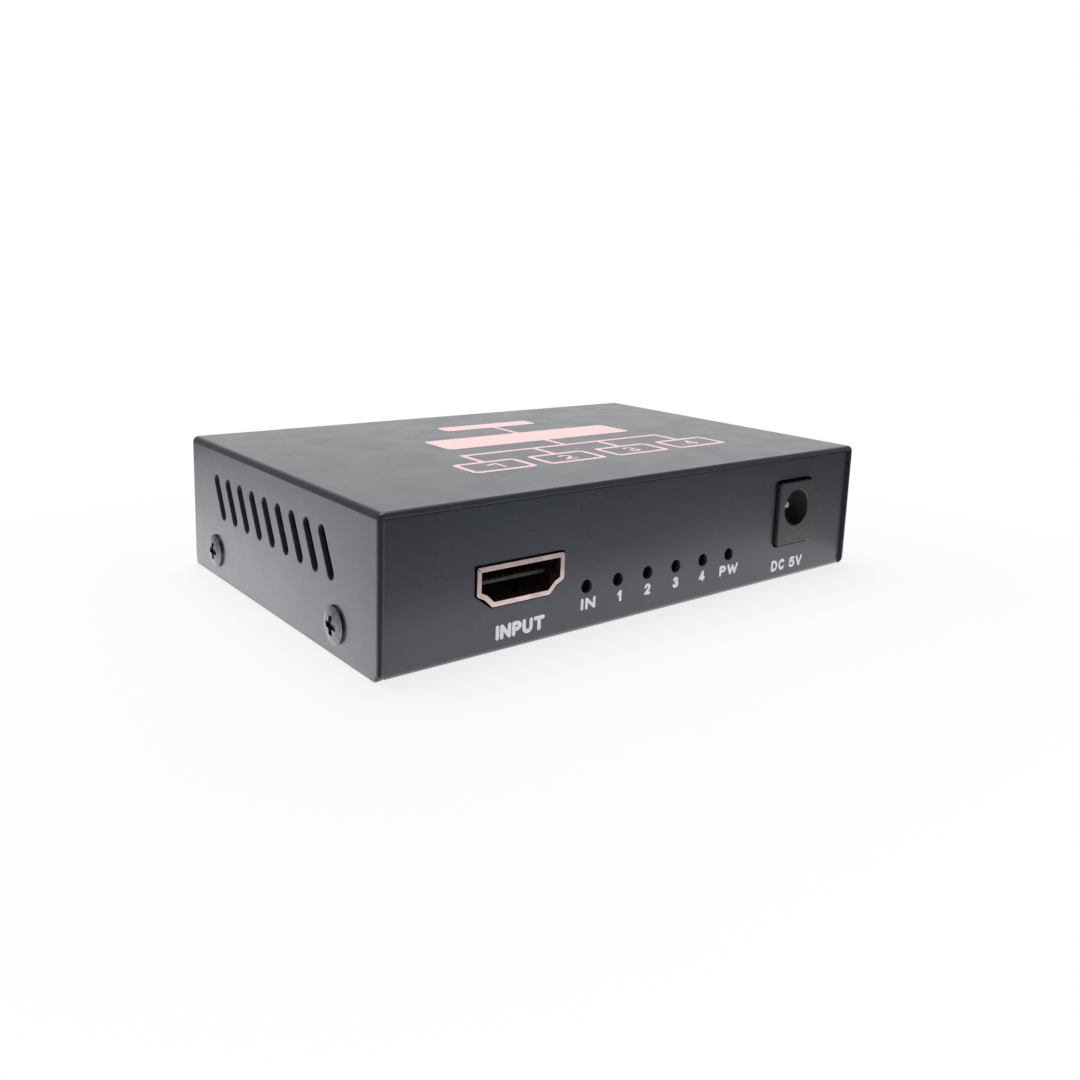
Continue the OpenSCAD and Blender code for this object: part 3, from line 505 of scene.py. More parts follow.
@dataclass(frozen=True)
class Easing:
    """Rounding of the sharp edges of a piece, by modifiers that leave its own mesh as it is.

    Attributes:
        width: Width of the rounding in mm.
        segments: Strips across the rounding.
        middle: Centre of the box whose edges are rounded, in mm.
        reach: Distance of the box's faces from its centre in mm.
        bare: Distance from the same centre within which edges stay sharp in mm.
        least: Height below which edges stay sharp in mm.
        sharp: Edges that turn by more than this many degrees are rounded.
    """

    width: float
    segments: int = 2
    middle: Triple = (0.0, 0.0, 0.0)
    reach: Triple = (FAR, FAR, FAR)
    bare: Triple = (0.001, 0.001, 0.001)
    least: float = -FAR
    sharp: float = SHARP

    def within(self, tree: Tree, away: Socket, reach: Triple) -> Socket:
        """Tells how far a place lies towards the faces of a box.

        Args:
            tree: The modifier's tree.
            away: Distance from the box's centre along each axis in metres.
            reach: Distance of the box's faces from its centre in mm.

        Returns:
            Below 1 inside the box, above 1 outside.
        """
        shares = {0: away, 1: Vector(reach) * MM}
        share = add(tree, "ShaderNodeVectorMath", {"operation": "DIVIDE"}, shares).outputs[0]
        x, y, z = add(tree, "ShaderNodeSeparateXYZ", inputs={0: share}).outputs
        level = add(tree, "ShaderNodeMath", {"operation": "MAXIMUM"}, {0: x, 1: y}).outputs[0]
        return add(tree, "ShaderNodeMath", {"operation": "MAXIMUM"}, {0: level, 1: z}).outputs[0]

    def choice(self, name: str) -> Tree:
        """Builds the modifier tree that picks the sharp edges inside the box and above the least height.

        Args:
            name: Name of the tree.

        Returns:
            A geometry tree.
        """
        tree, shape = geometry_tree(name)
        spot = add(tree, "GeometryNodeInputPosition").outputs[0]
        off = {0: spot, 1: Vector(self.middle) * MM}
        away = add(tree, "ShaderNodeVectorMath", {"operation": "SUBTRACT"}, off).outputs[0]
        far = add(tree, "ShaderNodeVectorMath", {"operation": "ABSOLUTE"}, {0: away}).outputs[0]
        height = add(tree, "ShaderNodeSeparateXYZ", inputs={0: spot}).outputs[2]
        turn = add(tree, "GeometryNodeInputMeshEdgeAngle").outputs[0]
        most = {0: self.within(tree, far, self.reach), 1: 1.0}
        weight = add(tree, "ShaderNodeMath", {"operation": "LESS_THAN"}, most).outputs[0]
        for value, least in (
            (self.within(tree, far, self.bare), 1.0),
            (height, self.least * MM),
            (turn, math.radians(self.sharp)),
        ):
            pair = {0: value, 1: least}
            above = add(tree, "ShaderNodeMath", {"operation": "GREATER_THAN"}, pair).outputs[0]
            weight = add(tree, "ShaderNodeMath", {"operation": "MULTIPLY"}, {0: weight, 1: above}).outputs[0]
        kept = {"Geometry": shape, "Name": "bevel_weight_edge", "Value": weight}
        stored = add(tree, "GeometryNodeStoreNamedAttribute", {"data_type": "FLOAT", "domain": "EDGE"}, kept)
        add(tree, "NodeGroupOutput", inputs={"Geometry": stored.outputs[0]})
        return tree

    def apply(self, piece: bpy.types.Object) -> None:
        """Adds the modifiers to a piece.

        Args:
            piece: A CAD node.
        """
        piece.modifiers.new("weld", "NODES").node_group = weld_tree()
        flat = piece.modifiers.new("merge_flats", "DECIMATE")
        flat.decimate_type = "DISSOLVE"
        flat.angle_limit = math.radians(FLAT)
        piece.modifiers.new("pick_edges", "NODES").node_group = self.choice(piece.name + "_edges")
        round_off = piece.modifiers.new("ease", "BEVEL")
        round_off.width = self.width * MM
        round_off.segments = self.segments
        round_off.limit_method = "WEIGHT"
        round_off.use_clamp_overlap = False
        round_off.loop_slide = False
        round_off.harden_normals = True
        even = piece.modifiers.new("even_normals", "WEIGHTED_NORMAL")
        even.keep_sharp = True


def piece_from(name: str, bm: bmesh.types.BMesh, sharp: float = SHARP) -> bpy.types.Object:
    """Turns a built mesh into a piece of the scene.

    Args:
        name: Name of the piece.
        bm: Its mesh in metres, freed here.
        sharp: Edges that turn by more than this many degrees stay sharp.

    Returns:
        The new object, in the scene.
    """
    bmesh.ops.recalc_face_normals(bm, faces=bm.faces)
    for face in bm.faces:
        face.smooth = True
    for edge in bm.edges:
        edge.smooth = len(edge.link_faces) == 2 and edge.calc_face_angle(0.0) < math.radians(sharp)
    mesh = bpy.data.meshes.new(name)
    bm.to_mesh(mesh)
    bm.free()
    piece = bpy.data.objects.new(name, mesh)
    bpy.context.scene.collection.objects.link(piece)
    return piece


@dataclass
class Case:
    """Folded cover and tray, both powder coated.

    Attributes:
        cover_edges: Rounding of the paint on the cover's front and rear edges and round its vents.
        tray_edges: Rounding on the tray's cut edges, but not in its open corners, which the wings hide.
    """

    cover_edges: tuple[Easing, ...] = (
        *(
            Easing(0.7, 5, (0.0, end, 11.4), reach=(FAR, 2.2, 11.6), bare=(49.6, FAR, 11.0), least=0.45)
            for end in (-HALF_DEPTH, HALF_DEPTH)
        ),
        Easing(0.16, 3, (0.0, 1.0, 14.35), reach=(FAR, 24.0, 5.0)),
    )
    tray_edges: Easing = Easing(0.14, 2, reach=(47.6, FAR, FAR))

    def build(self) -> None:
        """Rounds the cut edges, as paint does."""
        for edges in self.cover_edges:
            edges.apply(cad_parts["top_cover"])
        self.tray_edges.apply(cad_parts["bottom_tray"])

    def dress(self) -> None:
        """Paints both sheets."""
        for name in ("top_cover", "bottom_tray"):
            PAINTS.dress(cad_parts[name], Stock.POWDER_COAT)


@dataclass
class CoverScrew:
    """One screw of the cover: the head of its CAD node on a new threaded shank.

    Attributes:
        node: Name of the CAD node and its body.
        side: 1 for the right wing, -1 for the left.
        wing: Distance of the wing's face from the middle in mm.
        core: Radius of the thread's root in mm.
        crest: Radius of the thread's crest in mm.
        pitch: Pitch of the thread in mm.
        runout: Length without thread under the head in mm.
        tip: Length of the tapered end in mm.
        end: Share of the root's radius that is left at the end.
        flank: Steepness of the thread's flanks, where 1 gives a sharp V.
        flat: Share of the thread's height that fills its root.
        around: Points round the shank.
        step: Distance of the rings of points in mm.
        weld: Distance within which the node's split corners are joined in mm.
        seat: Depth under the wing's face down to which the node's faces are kept in mm.
        sharp: Edges that turn by more than this many degrees stay sharp.
        piece: The screw.
    """

    node: str
    side: int
    wing: float = 50.0
    core: float = 1.18
    crest: float = 1.48
    pitch: float = 0.5
    runout: float = 0.3
    tip: float = 0.5
    end: float = 0.8
    flank: float = 1.25
    flat: float = 0.12
    around: int = 40
    step: float = 0.05
    weld: float = 0.001
    seat: float = 0.01
    sharp: float = 50.0
    piece: bpy.types.Object | None = None

    def radius(self, depth: float, turn: float, length: float) -> float:
        """Gives the shank's radius at a point.

        Args:
            depth: Distance from the head in mm.
            turn: Angle round the axis in turns.
            length: Length of the shank in mm.

        Returns:
            The radius in mm.
        """
        if depth < self.runout:
            return self.crest + (self.core - self.crest) * depth / self.runout
        phase = abs((depth / self.pitch - turn) % 1.0 - 0.5) * 2
        ridge = max(0.0, min(1.0, self.flank * phase - self.flat))
        fade = min(1.0, (length - depth) / self.tip)
        root = self.core * (self.end + (1 - self.end) * fade)
        return root + (self.crest - self.core) * ridge * fade

    def build(self) -> None:
        """Keeps the head and winds a thread below it."""
        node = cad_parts[self.node]
        low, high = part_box(self.node)
        length = self.wing - min(abs(low.x), abs(high.x)) / MM
        axis_y, axis_z = (low.y + high.y) / 2, (low.z + high.z) / 2
        mesh = node.data.copy()
        mesh.attributes.remove(mesh.attributes["custom_normal"])
        bm = bmesh.new()
        bm.from_mesh(mesh)
        bpy.data.meshes.remove(mesh)
        bmesh.ops.remove_doubles(bm, verts=bm.verts, dist=self.weld * MM)
        seat = (self.wing - self.seat) * MM
        shank = [face for face in bm.faces if face.calc_center_median().x * self.side < seat]
        bmesh.ops.delete(bm, geom=shank, context="FACES")
        around, steps = self.around, round(length / self.step)
        rings = []
        for i in range(steps + 1):
            depth = length * i / steps
            ring = []
            for j in range(around):
                r, a = self.radius(depth, j / around, length) * MM, 2 * math.pi * j / around
                x = self.side * (self.wing - depth) * MM
                ring.append(bm.verts.new((x, axis_y + r * math.cos(a), axis_z + r * math.sin(a))))
            rings.append(ring)
        for upper, lower in zip(rings, rings[1:]):
            for j in range(around):
                k = (j + 1) % around
                bm.faces.new((upper[j], upper[k], lower[k], lower[j]))
        bm.faces.new(rings[-1])
        self.piece = piece_from(self.node + "_threaded", bm, self.sharp)
        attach(self.piece, self.node)
        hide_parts(self.node)

    def dress(self) -> None:
        """Blackens the screw."""
        PAINTS.dress(self.piece, Stock.BLACK_STEEL)


@dataclass
class VideoSocket:
    """One video socket: plated shell, moulded tongue and two rows of contacts.

    Attributes:
        name: First part of the names of its nodes.
        edges: Rounding on the shell's cut edges.
    """

    name: str
    edges: Easing = Easing(0.05, sharp=60.0)

    def build(self) -> None:
        """Rounds the shell's edges."""
        self.edges.apply(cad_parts[self.name + "_shell"])

    def dress(self) -> None:
        """Plates the shell and the contacts."""
        PAINTS.dress(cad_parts[self.name + "_shell"], Stock.NICKEL)
        PAINTS.dress(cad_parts[self.name + "_insulator"], Stock.NYLON)
        PAINTS.dress(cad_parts[self.name + "_contacts"], Stock.GOLD)


@dataclass
class PowerJack:
    """Barrel jack: moulded housing, centre pin, leaf and terminals.

    Attributes:
        edges: Rounding on the housing's face, in front of the panel.
    """

    edges: Easing = Easing(0.2, 3, (0.0, -33.0, 0.0), reach=(FAR, 2.4, FAR))

    def build(self) -> None:
        """Rounds the edges of the housing's face."""
        self.edges.apply(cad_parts["power_jack_housing"])

    def dress(self) -> None:
        """Gives the housing its plastic and the metal its tin."""
        PAINTS.dress(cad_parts["power_jack_housing"], Stock.POLYESTER)
        for part in ("pin", "leaf", "sleeve_terminal", "switch_terminal"):
            PAINTS.dress(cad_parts["power_jack_" + part], Stock.TIN)


@dataclass
class LampRow:
    """Six side-view lamps behind the panel's holes.

    Attributes:
        names: Names of their nodes.
    """

    names: tuple[str, ...] = ("lamp_input", "lamp_1", "lamp_2", "lamp_3", "lamp_4", "lamp_power")

    def dress(self) -> None:
        """Casts the lamps in resin whose dark colour is painted shade."""
        for name in self.names:
            PAINTS.dress(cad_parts[name], Stock.LAMP)


@dataclass
class CircuitBoard:
    """Board with its chips, passives, standoffs and screws."""

    def dress(self) -> None:
        """Gives each part on the board its finish."""
        finishes = {
            Stock.MASK: ("circuit_board",),
            Stock.ZINC: ("board_standoffs", "board_screws", "crystal_can"),
            Stock.CHIP: (
                "splitter_chip", "control_chip", "memory_chip", "voltage_regulator", "protection_diode",
                "surge_arrays", "chip_resistors",
            ),
            Stock.TIN: ("splitter_chip_leads", "small_chip_leads"),
            Stock.SILICONE: ("thermal_pad",),
            Stock.ANODISED: ("heat_sink",),
            Stock.NYLON: ("capacitor_bases",),
            Stock.CAN: ("capacitor_cans",),
            Stock.FERRITE: ("power_inductor",),
            Stock.CERAMIC: ("chip_capacitors",),
        }
        for stock, names in finishes.items():
            for name in names:
                PAINTS.dress(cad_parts[name], stock)


class Side(Enum):
    """Printed faces, as the directions right, up and out, and the face's distance from the origin in mm."""

    FRONT = ((1, 0, 0), (0, 0, 1), (0, -1, 0), PANEL)
    REAR = ((-1, 0, 0), (0, 0, 1), (0, 1, 0), PANEL)
    TOP = ((1, 0, 0), (0, 1, 0), (0, 0, 1), TOP)

    def matrix(self) -> Matrix:
        """Works out how a flat print, drawn in mm, is laid on the face.

        Returns:
            A matrix from the print to metres.
        """
        right, up, out, level = self.value
        turn = Matrix((right, up, out)).transposed().to_4x4()
        return Matrix.Scale(MM, 4) @ Matrix.Translation(Vector(out) * level) @ turn


def film_of(bm: bmesh.types.BMesh, outer: Points, film: float, inner: Points | None = None) -> None:
    """Adds a film of ink inside an outline, or between two outlines of as many points.

    Args:
        bm: Mesh that takes the film, in mm.
        outer: Outer outline.
        film: Thickness in mm.
        inner: Outline of the bare middle.
    """
    loops = [
        [[bm.verts.new((x, y, z)) for x, y in line] for z in (0.0, film)] for line in (outer, inner) if line
    ]
    count = len(outer)
    for low, high in loops:
        for i in range(count):
            bm.faces.new((low[i], low[(i + 1) % count], high[(i + 1) % count], high[i]))
    if inner is None:
        for level in loops[0]:
            bm.faces.new(level)
        return
    for outside, inside in zip(*loops):
        for i in range(count):
            j = (i + 1) % count
            bm.faces.new((outside[i], outside[j], inside[j], inside[i]))


# Degrees per chord of a drawn arc.
CHORD = 18


def bow(x: float, y: float, across: float, up: float, start: float, end: float) -> Points:
    """Draws a part of an ellipse.

    Args:
        x: Centre across.
        y: Centre upwards.
        across: Half of the width.
        up: Half of the height.
        start: First angle in degrees.
        end: Last angle in degrees.

    Returns:
        Points along the arc.
    """
    steps = round(abs(end - start) / CHORD)
    angles = [math.radians(start + (end - start) * i / steps) for i in range(steps + 1)]
    return [(x + across * math.cos(a), y + up * math.sin(a)) for a in angles]


STEM: Points = [(0, 0), (0, 1)]
# Relative width of each character, and its strokes inside a unit square.
STROKES: dict[str, tuple[float, tuple[Points, ...]]] = {
    " ": (0.1, ()),
    "1": (0.3, ([(0, 0.74), (1, 1), (1, 0)],)),
    "2": (0.65, ([*bow(0.5, 0.7, 0.5, 0.3, 165, -33), (0, 0), (1, 0)],)),
    "3": (0.65, (bow(0.45, 0.76, 0.45, 0.24, 155, -90), bow(0.45, 0.26, 0.55, 0.26, 90, -155))),
    "4": (0.75, ([(1, 0.25), (0, 0.25), (0.7, 1)], [(0.7, 1), (0.7, 0)])),
    "5": (0.65, ([(0.9, 1), (0.1, 1), (0.02, 0.52), *bow(0.45, 0.33, 0.55, 0.33, 120, -150)],)),
    "C": (0.8, (bow(0.5, 0.5, 0.5, 0.5, 42, 318),)),
    "D": (0.75, (STEM, [(0, 1), (0.4, 1), *bow(0.4, 0.5, 0.6, 0.5, 72, -72), (0.4, 0), (0, 0)])),
    "I": (0, (STEM,)),
    "N": (0.8, ([(0, 0), (0, 1), (1, 0), (1, 1)],)),
    "P": (0.65, (STEM, [(0, 1), (0.5, 1), *bow(0.5, 0.73, 0.5, 0.27, 72, -72), (0.5, 0.46), (0, 0.46)])),
    "T": (0.85, ([(0, 1), (1, 1)], [(0.5, 1), (0.5, 0)])),
    "U": (0.75, ([(0, 1), *bow(0.5, 0.35, 0.5, 0.35, 180, 360), (1, 1)],)),
    "V": (0.8, ([(0, 1), (0.5, 0), (1, 1)],)),
    "W": (1.25, ([(0, 1), (0.25, 0), (0.5, 0.9), (0.75, 0), (1, 1)],)),
}


# Gap between two letters, measured as their widths are.
LETTER_GAP = 0.46
# Share of the film by which each further stroke of a letter lies lower.
LOWER = 0.2
# Turns in radians where a stroke doubles back, up to which it is straight, and of one chord of a join.
BACK_TURN, STRAIGHT, JOIN_CHORD = 3.1, 0.01, 0.4


def brush(line: Points, half: float) -> Points:
    """Draws the outline of a stroke with round ends and joins.

    Args:
        line: Its middle line.
        half: Half of its width.

    Returns:
        The outline, anticlockwise.
    """
    path = [Vector(p) for p in (*line, *line[-2:0:-1])]
    outline = []
    for i, point in enumerate(path):
        before = (point - path[i - 1]).normalized()
        after = (path[(i + 1) % len(path)] - point).normalized()
        turn = math.atan2(before.cross(after), before.dot(after))
        turn = math.pi if abs(turn) > BACK_TURN else turn
        if turn < -STRAIGHT:
            outward = Vector((before.y + after.y, -before.x - after.x)) / (1 + before.dot(after))
            outline.append(tuple(point + half * outward))
            continue
        steps = max(1, round(turn / JOIN_CHORD))
        first = math.atan2(-before.x, before.y)
        for k in range(steps + 1):
            angle = first + turn * k / steps
            outline.append((point.x + half * math.cos(angle), point.y + half * math.sin(angle)))
    return outline


def write(bm: bmesh.types.BMesh, text: str, area: Area, stroke: float, film: float) -> None:
    """Writes a word in plain strokes across an area.

    Args:
        bm: Mesh that takes the word, in mm.
        text: The word.
        area: Left, right, bottom and top in mm.
        stroke: Width of the strokes in mm.
        film: Thickness of the ink in mm.
    """
    left, right, low, high = area
    share = sum(STROKES[letter][0] for letter in text) + LETTER_GAP * (len(text) - 1)
    unit = (right - left - stroke) / share
    at = left + stroke / 2
    for letter in text:
        width, lines = STROKES[letter]
        # Strokes that cross lie on different levels, or their faces would fall together.
        for level, line in enumerate(lines):
            placed = [(at + x * width * unit, low + stroke / 2 + y * (high - low - stroke)) for x, y in line]
            film_of(bm, brush(placed, stroke / 2), film * (1 - LOWER * level))
        at += (width + LETTER_GAP) * unit


@dataclass
class Label:
    """One printed word or number.

    Attributes:
        name: Name of the piece.
        text: What it says.
        side: Face that it is printed on.
        area: Left, right, bottom and top on the face in mm.
        stroke: Width of the strokes in mm.
        film: Thickness of the ink in mm.
        piece: The print.
    """

    name: str
    text: str
    side: Side
    area: Area
    stroke: float = 0.5
    film: float = 0.02
    piece: bpy.types.Object | None = None

    def build(self) -> None:
        """Draws the word on its face."""
        bm = bmesh.new()
        write(bm, self.text, self.area, self.stroke, self.film)
        bmesh.ops.transform(bm, matrix=self.side.matrix(), verts=bm.verts)
        self.piece = piece_from(self.name, bm)
        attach(self.piece, CASE)

    def dress(self) -> None:
        """Prints it in white."""
        PAINTS.dress(self.piece, Stock.WHITE_INK)


def rounded_box(area: Area, r: float, steps: int = 8) -> Points:
    """Draws a rectangle with round corners.

    Args:
        area: Left, right, bottom and top in mm.
        r: Radius of the corners in mm.
        steps: Chords per corner.

    Returns:
        Its outline, anticlockwise.
    """
    left, right, low, high = area
    x0, x1, y0, y1 = left + r, right - r, low + r, high - r
    line = []
    for x, y, start in ((x1, y0, -90), (x1, y1, 0), (x0, y1, 90), (x0, y0, 180)):
        for i in range(steps + 1):
            a = math.radians(start + 90 * i / steps)
            line.append((x + r * math.cos(a), y + r * math.sin(a)))
    return line


@dataclass
class TopPrint:
    """Plain one-to-four diagram on the cover: a source, the splitter and four numbered outputs.

    Attributes:
        source: Area of the source's bar in mm.
        splitter: Area of the splitter's bar in mm.
        outputs: Area of the row of four outputs in mm.
        space: Gap between two outputs in mm.
        line: Width of the lines in mm.
        corner: Radius of the bars' corners in mm.
        line_corner: Radius of the lines' corners in mm.
        count: Number of outputs.
        digit: Half of a number's width, its distance from the edge and its strokes' width in mm.
        film: Thickness of the ink in mm.
        levels: Shares of that thickness on the lines to the bars and to the outputs.
        piece: The print.
    """

    source: Area = (-8.2, 13.0, 15.45, 19.6)
    splitter: Area = (-18.2, 23.5, -0.3, 8.3)
    outputs: Area = (-25.5, 30.9, -18.4, -11.3)
    space: float = 2.4
    line: float = 1.0
    corner: float = 1.2
    line_corner: float = 0.2
    count: int = 4
    digit: Triple = (1.3, 1.9, 0.6)
    film: float = 0.02
    levels: tuple[float, float] = (0.8, 0.6)
    piece: bpy.types.Object | None = None

    def build(self) -> None:
        """Draws the bars, the lines between them and the numbers."""
        bm = bmesh.new()
        for bar in (self.source, self.splitter):
            film_of(bm, rounded_box(bar, self.corner), self.film)
        middle = (self.splitter[0] + self.splitter[1]) / 2
        half = self.line / 2
        left, right, low, high = self.outputs
        width = (right - left - (self.count - 1) * self.space) / self.count
        bus = (high + self.splitter[2]) / 2
        across = (left + width / 2 - half, right - width / 2 + half, bus - half, bus + half)
        film_of(bm, rounded_box(across, self.line_corner), self.film)
        # Lines that cross lie on different levels, or their faces would fall together.
        to_bar, to_output = (self.film * level for level in self.levels)
        for start, end in ((bus, self.splitter[3]), (self.splitter[2], self.source[3] - self.line)):
            film_of(bm, rounded_box((middle - half, middle + half, start, end), self.line_corner), to_bar)
        digit_half, digit_gap, digit_stroke = self.digit
        for i in range(self.count):
            start = left + i * (width + self.space)
            area = (start, start + width, low, high)
            inside = (start + self.line, start + width - self.line, low + self.line, high - self.line)
            film_of(bm, rounded_box(area, self.corner), self.film, rounded_box(inside, self.corner / 3))
            at = start + width / 2
            film_of(bm, rounded_box((at - half, at + half, high - half, bus), self.line_corner), to_output)
            place = (at - digit_half, at + digit_half, low + digit_gap, high - digit_gap)
            write(bm, str(i + 1), place, digit_stroke, self.film)
        bmesh.ops.transform(bm, matrix=Side.TOP.matrix(), verts=bm.verts)
        self.piece = piece_from("cover_diagram", bm)
        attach(self.piece, CASE)

    def dress(self) -> None:
        """Prints it in pale pink."""
        PAINTS.dress(self.piece, Stock.PINK_INK)


@dataclass(frozen=True)
class Lamp:
    """One soft studio lamp.

    Attributes:
        name: Name of the lamp.
        place: Its place in mm.
        aim: Point that it faces in mm.
        size: Width and height in mm.
        level: Brightness of its face, where 1 is white.
    """

    name: str
    place: Triple
    aim: Triple
    size: tuple[float, float]
    level: float

    def build(self) -> None:
        """Hangs the lamp with its width along X, unseen by the camera."""
        light = bpy.data.lights.new(self.name, "AREA")
        light.shape = "RECTANGLE"
        light.size, light.size_y = self.size[0] * MM, self.size[1] * MM
        light.energy = self.level * math.pi * light.size * light.size_y
        back = (Vector(self.place) - Vector(self.aim)).normalized()
        right = Vector((1.0, 0.0, 0.0))
        turn = Matrix((right, back.cross(right), back)).transposed().to_4x4()
        holder = bpy.data.objects.new(self.name, light)
        holder.matrix_world = Matrix.Translation(Vector(self.place) * MM) @ turn
        holder.visible_camera = False
        bpy.context.scene.collection.objects.link(holder)


@dataclass(frozen=True)
class Viewpoint:
    """The photograph's viewpoint.

    Attributes:
        place: Place of the camera in mm.
        azimuth: Turn round the upright from straight in front in degrees.
        elevation: Height over the horizon in degrees.
        roll: Turn about the line of sight in degrees.
        lens: Focal length in mm.
        sensor: Width of the sensor in mm.
        shift: Shift of the picture across and upwards as shares of its width.
        clip: Nearest and farthest distance that is drawn in metres.
    """

    place: Triple = (-110.861, -138.857, 53.749)
    azimuth: float = -38.624
    elevation: float = 10.661
    roll: float = 1.850
    lens: float = 33.549
    sensor: float = 36.0
    shift: tuple[float, float] = (0.00603, -0.07908)
    clip: tuple[float, float] = (0.005, 20.0)

    def build(self) -> None:
        """Sets the camera up."""
        data = bpy.data.cameras.new("camera")
        data.lens, data.sensor_width = self.lens, self.sensor
        data.shift_x, data.shift_y = self.shift
        data.clip_start, data.clip_end = self.clip
        camera = bpy.data.objects.new("camera", data)
        bpy.context.scene.collection.objects.link(camera)
        a, e, roll = (math.radians(angle) for angle in (self.azimuth, self.elevation, self.roll))
        back = Vector((math.sin(a) * math.cos(e), -math.cos(a) * math.cos(e), math.sin(e)))
        right = Vector((math.cos(a), math.sin(a), 0.0))
        up = back.cross(right)
        across = math.cos(roll) * right + math.sin(roll) * up
        upward = math.cos(roll) * up - math.sin(roll) * right
        turn = Matrix((across, upward, back)).transposed().to_4x4()
        camera.matrix_world = Matrix.Translation(Vector(self.place) * MM) @ turn
        bpy.context.scene.camera = camera


@dataclass
class Studio:
    """Pale floor with a painted glow in reflections, white backdrop that darkens overhead, soft lamps and the
    camera.

    Attributes:
        ambient: Brightness of the room for soft light.
        dusk: Brightness beside and above the white backdrop in reflections.
        front: Share of the backdrop's brightness in front of the box.
        rise: Upward parts of the direction between which the backdrop goes dark.
        left: Rightward parts of the direction between which it goes bright.
        behind: Rearward parts of the direction between which it goes bright.
        floor: Colour of the floor.
        floor_half: Half of the floor's width in metres.
        floor_drop: Depth of the floor under the box in mm.
        shade: Share of the floor's own shading that the camera sees near the box.
        near_painted_glow: Painted brightness of the floor's glow beside the box, seen only in reflections.
        far_painted_glow: Painted brightness of the far floor's glow, seen only in reflections.
        unlit_side_glow_share: Share of that painted glow on the unlit sides of the box, a painted shade.
        painted_glow_fade: Distance from the box at which the painted glow is dimmed in mm.
        shadow_fade: Distance from the box at which the floor is plain white to the camera in mm.
        box: Half of the box's width and depth in mm.
        zone_edge: Width of the step between the painted bright and painted dark floor in mm.
        view: The camera.
        lamps: The lamps.
    """

    ambient: float = 0.25
    dusk: float = 0.25
    front: float = 0.35
    rise: tuple[float, float] = (0.40, 0.60)
    left: tuple[float, float] = (-0.15, 0.3)
    behind: tuple[float, float] = (-0.5, 0.1)
    floor: str = "#F2F2F2"
    floor_half: float = 4.0
    floor_drop: float = 0.05
    shade: float = 0.18
    near_painted_glow: float = 1.0
    far_painted_glow: float = 0.2
    unlit_side_glow_share: float = 0.1
    painted_glow_fade: float = 90.0
    shadow_fade: float = 70.0
    box: tuple[float, float] = (50.0, 31.0)
    zone_edge: float = 0.5
    view: Viewpoint = Viewpoint()
    lamps: tuple[Lamp, ...] = (
        Lamp("overhead_softbox", (0, 180, 600), (0, 0, 10), (520, 420), 5.0),
        Lamp("left_light_table", (-89.5, 52, 0.05), (-89.5, 52, 10), (79, 168), 1.05),
        Lamp("left_near_strip", (-55.8, 21, 0.1), (-55.8, 21, 10), (14.4, 102), 0.25),
        Lamp("front_near_strip", (4.5, -41.8, 0.05), (4.5, -41.8, 10), (109, 22.4), 0.8),
    )

    def light(self) -> None:
        """Hangs the lamps and the surround."""
        for lamp in self.lamps:
            lamp.build()
        world = bpy.data.worlds.new("white_surround")
        bpy.context.scene.world = world
        tree = blank_tree(world)
        camera, mirrored, seen = seen_rays(tree)
        way = add(tree, "ShaderNodeTexCoord").outputs["Generated"]
        x, y, z = add(tree, "ShaderNodeSeparateXYZ", inputs={0: way}).outputs
        # The white backdrop stands to the right behind the box, and fades 24 to 37 degrees over the horizon.
        start, end = self.rise
        rise = {"Value": z, "From Min": start, "From Max": end, "To Min": 1.0, "To Max": self.dusk}
        upward = add(tree, "ShaderNodeMapRange", inputs=rise).outputs[0]
        start, end = self.left
        right = {"Value": x, "From Min": start, "From Max": end, "To Min": self.dusk, "To Max": 1.0}
        sideways = add(tree, "ShaderNodeMapRange", inputs=right).outputs[0]
        start, end = self.behind
        back = {"Value": y, "From Min": start, "From Max": end, "To Min": self.front, "To Max": 1.0}
        rearward = add(tree, "ShaderNodeMapRange", inputs=back).outputs[0]
        aside = add(tree, "ShaderNodeMath", {"operation": "MULTIPLY"}, {0: upward, 1: sideways}).outputs[0]
        drop = add(tree, "ShaderNodeMath", {"operation": "MULTIPLY"}, {0: aside, 1: rearward}).outputs[0]
        shown = add(tree, "ShaderNodeMath", {"operation": "MULTIPLY"}, {0: mirrored, 1: drop}).outputs[0]
        white = add(tree, "ShaderNodeMath", {"operation": "MAXIMUM"}, {0: camera, 1: shown}).outputs[0]
        soft = {"Color": linear("#FBFCFF"), "Strength": self.ambient}
        room = add(tree, "ShaderNodeBackground", inputs=soft)
        sweep = add(tree, "ShaderNodeBackground", inputs={"Color": linear("#FFFFFF"), "Strength": white})
        mixed = add(tree, "ShaderNodeMixShader", inputs={0: seen, 1: room.outputs[0], 2: sweep.outputs[0]})
        add(tree, "ShaderNodeOutputWorld", inputs={"Surface": mixed.outputs[0]})

    def lay_floor(self) -> None:
        """Lays the floor, white to the camera with the shadow kept, and in reflections glowing with a painted
        pool of light near the box.
        """
        bm = bmesh.new()
        under = Matrix.Translation((0, 0, -self.floor_drop * MM))
        bmesh.ops.create_grid(bm, x_segments=1, y_segments=1, size=self.floor_half, matrix=under)
        floor = piece_from("studio_floor", bm)
        material = bpy.data.materials.new("matt_studio_paper_painted_glow")
        tree = blank_tree(material)
        camera, _, seen = seen_rays(tree)
        spot = add(tree, "ShaderNodeTexCoord").outputs["Object"]
        side = add(tree, "ShaderNodeVectorMath", {"operation": "ABSOLUTE"}, {0: spot}).outputs[0]
        off = {0: side, 1: Vector((*self.box, 0.0)) * MM}
        past = add(tree, "ShaderNodeVectorMath", {"operation": "SUBTRACT"}, off).outputs[0]
        ahead = {0: past, 1: Vector()}
        clear = add(tree, "ShaderNodeVectorMath", {"operation": "MAXIMUM"}, ahead).outputs[0]
        gap = add(tree, "ShaderNodeVectorMath", {"operation": "LENGTH"}, {0: clear}).outputs["Value"]
